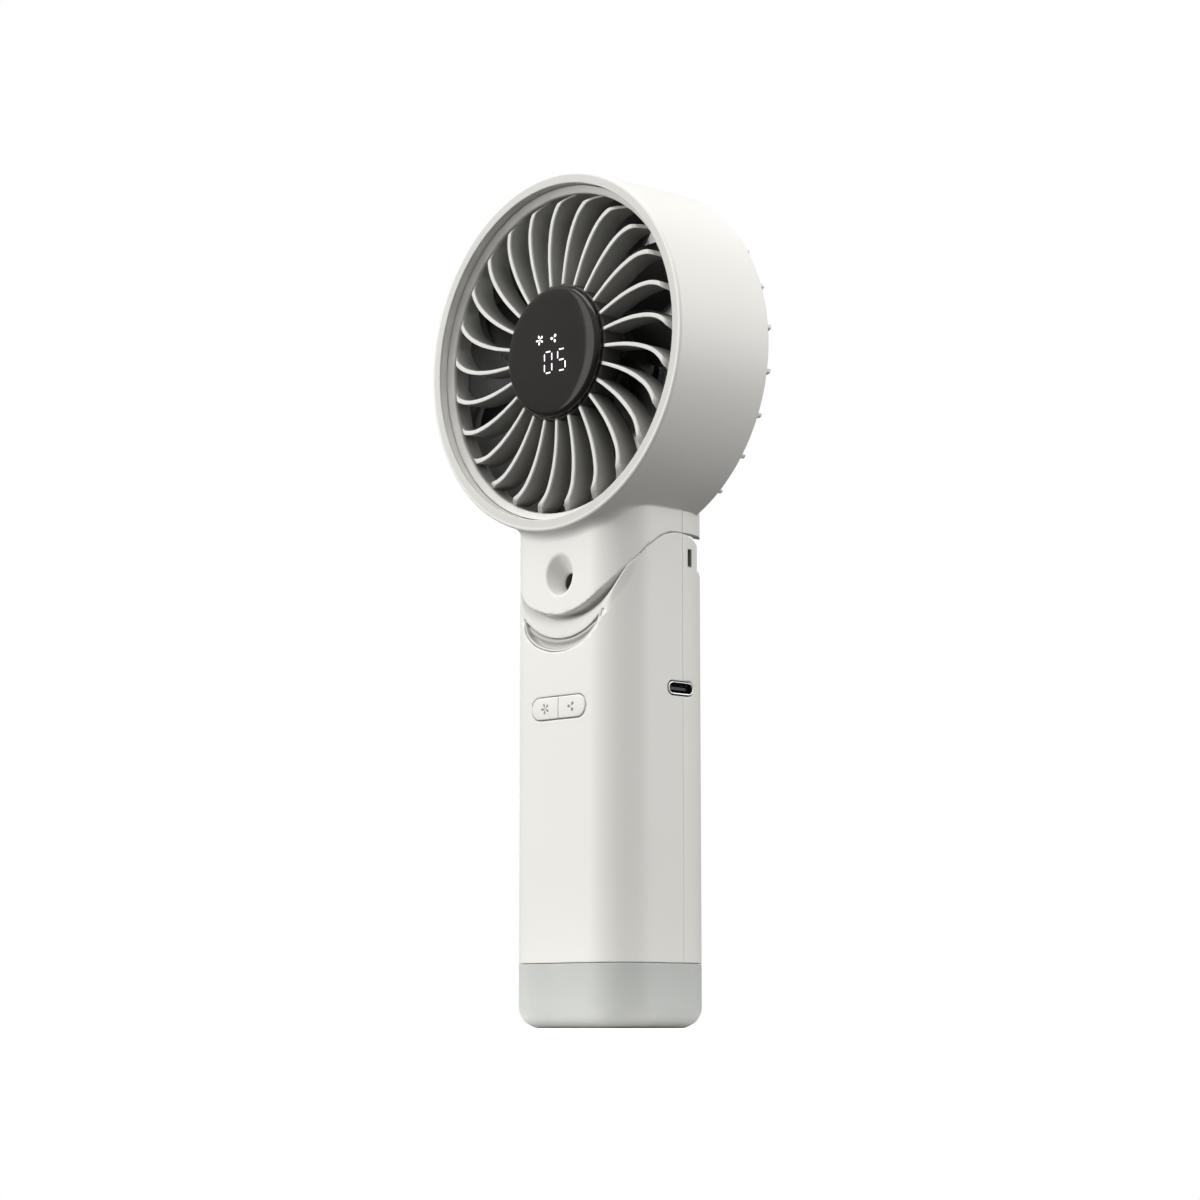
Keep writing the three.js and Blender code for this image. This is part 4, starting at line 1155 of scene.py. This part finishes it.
def make_front_grille():
    deep = graded(
        (GRILLE_FRONT - 0.3, 0.12), (GRILLE_FRONT + 0.9, 0.2), (GRILLE_FRONT + 3, 0.5), (-13.4, 1.2),
        (-12.2, 0.3),
    )
    out = graded((15.8, 0.4), (18.4, 0.3), (22, 0.8), (38, 0.8), (40, 0.35), (44.5, 0.3))
    shape = contour(vane_field, (vane_lines(), deep, out), vane_place(FRONT_BEND), wraps=True)
    x, y, z = shape[0].T
    radius = np.hypot(x, z - DRUM_Z)
    # Painted shade: the vane flanks are dark, darker deeper behind the bright front edges and paler towards the
    # ring, and the ring darkens behind its front; round the lens the cup is near black.
    behind = y - vane_front(radius)
    edge = 0.84 * (1 - smoothstep(behind, 0.45, 0.75)) * (1 - smoothstep(radius, 40.2, 41.6))
    flank_shade = 0.26 + 0.15 * (1 - smoothstep(behind, 0.5, 7.0)) + 0.08 * smoothstep(radius, 34, 42)
    ring = 0.88 * smoothstep(radius, 41.9, 42.2) * (1 - smoothstep(y, -17.2, -16.2))
    tone_and_painted_shade = np.maximum(np.maximum(edge, flank_shade), ring)
    tone_and_painted_shade = np.where(radius < LENS_RADIUS + 0.6, 0.06, tone_and_painted_shade)
    add_piece("vane_grille", "head", "painted_shade", shape, ["front_grille"], tone_and_painted_shade)


def rear_field(x, y, z):
    radius = np.hypot(x, z - DRUM_Z)
    rib = both(np.abs(across_vane(x, z, REAR_BEND)) - 0.6, slab(y, 9.4, RIB_REAR), 0.3)
    over_drum = both(GUARD_OUTER - radius, y - DRUM_REAR - 0.15)
    rib = cut(both(rib, slab(radius, 16, RIB_REACH), 0.3), over_drum)
    rim = both(slab(radius, GUARD_INNER, GUARD_OUTER), slab(y, GUARD_FRONT, 11), 0.25)
    plate = both(both(radius - HUB_PLATE, slab(y, GUARD_FRONT, 11.8), 0.7), HUB_CAP - radius, 0.25)
    return either(either(cut(rib, folded_handle(x, y, z)), rim, 0.3), plate, 0.3)


def make_rear_grille():
    deep = graded((8.2, 0.25), (11, 0.3), (RIB_REAR + 0.3, 0.2))
    out = np.concatenate([
        graded((HUB_CAP - 0.4, 0.2), (HUB_CAP + 0.6, 0.2)),
        graded((15, 0.5), (19, 0.4), (24, 0.9), (42, 0.9), (43, 0.3), (RIB_REACH + 0.4, 0.3)),
    ])
    shape = contour(rear_field, (vane_lines(), deep, out), vane_place(REAR_BEND), wraps=True)
    add_piece("rear_guard", "head", "shell", shape, ["rear_cover"])
    side = HUB_CAP + 0.1
    cap = [(0.4, 8.7), (side, 8.7), (side, 11.25), (side - 0.1, 11.4), (side - 0.3, 11.48), (0.4, 11.5)]
    add_piece("guard_hub_cap", "head", "shell", lathe(cap))


def screw_field(centre_x, centre_z):
    """Pan head with a cross recess."""
    def field(x, y, z):
        u, v = np.abs(x - centre_x), np.abs(z - centre_z)
        head = both(np.hypot(u, v) - SCREW_RADIUS, slab(y, 11.4, 12.6), 0.4)
        cross = either(np.maximum(u - 0.22, v - 0.85), np.maximum(v - 0.22, u - 0.85))
        return cut(head, both(cross, 12.0 - y), 0.06)
    return field


def make_guard_screws():
    deep = graded((11.2, 0.1), (12.8, 0.1))
    for number in (1, 2, 3):
        name = f"cover_screw_{number}"
        low, high = box_mm(name)
        x, _, z = (low + high) / 2
        across = graded((x - SCREW_REACH, 0.1), (x + SCREW_REACH, 0.1))
        up = graded((z - SCREW_REACH, 0.1), (z + SCREW_REACH, 0.1))
        shape = contour(screw_field(x, z), (across, deep, up))
        add_piece(name + "_head", "head", "steel", shape, [name])


def fairing_slope(y, z):
    """Bevel of the neck's back below the guard."""
    bend_y, bend_z = FAIRING_BEND
    return (y - bend_y) * 0.78 + (z - bend_z) * 0.62


def fairing_field(x, y, z):
    """Back of the neck behind the seam, with a shelf under the rear grille."""
    radius = np.hypot(x, z - DRUM_Z)
    crown = both(both(y - REAR, z - FAIRING_TOP), fairing_slope(y, z), 2.0)
    skirt = both(both(prism(x, y), crown), parting(x, z))
    skirt = cut(skirt, both(radius - DRUM_RADIUS - 0.1, y - DRUM_REAR - 0.1))
    inner = both(prism(x, y, WALL), fairing_slope(y, z) + WALL)
    skirt = cut(skirt, both(inner, z - FAIRING_ROOM))
    skirt = cut(skirt, both(z - HINGE_Z - EAR_RADIUS - GAP, HINGE_Z - z))
    skirt = cut(skirt, folded_handle(x, y, z))
    shelf = both(radius - GUARD_OUTER, slab(y, GUARD_FRONT, 12.3))
    shelf = both(shelf, both(prism(x, y), slab(z, 124, FAIRING_TOP)))
    return behind_seam(either(skirt, shelf), y)


def make_fairing():
    across = mirrored((0, 0.6), (16, 0.5), (22.8, 0.3))
    deep = graded((4.2, 0.12), (4.7, 0.12), (6, 0.5), (11, 0.3), (12.6, 0.3), (18.7, 0.35))
    up = graded((123.6, 0.4), (142, 0.4))
    shape = contour(fairing_field, (across, deep, up))
    add_piece("neck_fairing", "head", "shell", shape)


# ---- display

def lens_front(radius):
    """Depth of the domed lens at a radius."""
    share = np.clip(radius / LENS_RADIUS, 0, 1)
    fall = np.clip(radius - LENS_RADIUS + LENS_ROUND, 0, LENS_ROUND)
    rounding = LENS_ROUND - np.sqrt(LENS_ROUND ** 2 - fall ** 2)
    return LENS_LOW[1] + LENS_CROWN * share ** 2 + LENS_SHOULDER * share ** 12.8 + rounding


def lens_surface(x, z):
    return lens_front(math.hypot(x, z - DRUM_Z))


def make_lens():
    rim = LENS_RADIUS
    turned = rim - LENS_ROUND * (1 - np.sin(np.radians(np.arange(0, 96, 7.5))))
    dome = [(r, lens_front(r)) for r in np.concatenate([[0.4], np.linspace(1.5, rim - 2, 16), turned])]
    edge = [(rim, LENS_HIGH[1] - 0.1), (rim - 0.1, LENS_HIGH[1]), (0.4, LENS_HIGH[1])]
    add_piece("display_dome", "head", "display", lathe((dome + edge)[::-1]), ["display_lens"])


def segment(centre, length, upright):
    """Seven-segment bar with pointed ends."""
    a, b = length / 2, SEGMENT_WIDTH / 2
    bar = [(-a, 0), (-a + b, -b), (a - b, -b), (a, 0), (a - b, b), (-a + b, b)]
    if upright:
        bar = [(-v, u) for u, v in bar]
    return [(centre[0] + u, centre[1] + v) for u, v in bar]


def digit(centre, lit):
    """Bars named a to g, clockwise from the top, g in the middle."""
    w, h = DIGIT_HALF
    places = {
        "a": ((0, h), False), "b": ((w, h / 2), True), "c": ((w, -h / 2), True), "d": ((0, -h), False),
        "e": ((-w, -h / 2), True), "f": ((-w, h / 2), True), "g": ((0, 0), False),
    }
    bars = []
    for name in lit:
        (dx, dz), upright = places[name]
        length = UPRIGHT_BAR if upright else LEVEL_BAR
        bars.append(segment((centre[0] + dx, centre[1] + dz), length, upright))
    return bars


def make_display_marks():
    marks = {
        "lit_zero": digit((-0.9, DIGIT_Z), "abcdef"),
        "lit_five": digit((4.15, DIGIT_Z), "acdfg"),
        "lit_rotor": rotor_icon((-4.15, DRUM_Z + 3.5), 2.8),
        "lit_breeze": breeze_icon((1.3, DRUM_Z + 3.15), 2.5),
    }
    for name, outlines in marks.items():
        add_piece(name, "head", "lit", plates(outlines, lens_surface))


# ---- impeller

def blade_field(x, y, z):
    radius = np.hypot(x, z - DRUM_Z)
    step = 2 * math.pi / IMPELLER_BLADES
    stations = [15, 25, 34, IMPELLER_RADIUS]
    sweep = np.radians(np.interp(radius, stations, [0, 5, 12, 21]))
    angle = np.arctan2(x, z - DRUM_Z) - sweep
    angle = angle - step * np.round(angle / step)
    chord = np.interp(radius, stations, [13, 14, 13, 11.5])
    height = np.interp(radius, stations, [10.5, 11, 10, 8])
    share = radius * angle / chord
    middle = -9.8 + (10.5 - height) / 2 + height * (share + 0.5 - 0.12 * np.cos(math.pi * share))
    lean = np.hypot(1, height / chord)
    thickness = 0.76 - 0.44 * np.abs(share)
    blade = both(np.abs(y - middle) / lean - thickness, np.abs(radius * angle) - chord / 2, 0.15)
    blade = both(blade, slab(radius, 15.4, IMPELLER_RADIUS))
    hub = both(radius - IMPELLER_HUB, slab(y, -10.6, 1.4), 1.5)
    hollow = either(both(radius - IMPELLER_CUP, -8.4 - y), radius - 1.3)
    return cut(either(blade, hub, 0.6), hollow)


def make_impeller():
    turn = full_turn((0, 0.8), (360, 0.8))
    deep = graded((-10.9, 0.3), (1.8, 0.3))
    out = graded((0.8, 0.4), (2, 1.5), (13, 1.0), (16.6, 0.4), (20, 1.0), (42, 1.0), (43.5, 0.4))
    shape = contour(blade_field, (turn, deep, out), round_drum, wraps=True)
    add_piece("impeller_rotor", "impeller", "dark_plastic", shape, ["impeller"])


# ---- assembly


make_camera()
make_floor()
make_world()
make_lights()
finish_cad_nodes()
make_handle()
make_insert()
make_lamp()
make_buttons()
make_button_icons()
make_usb()
make_head()
make_front_grille()
make_rear_grille()
make_guard_screws()
make_fairing()
make_lens()
make_display_marks()
make_impeller()
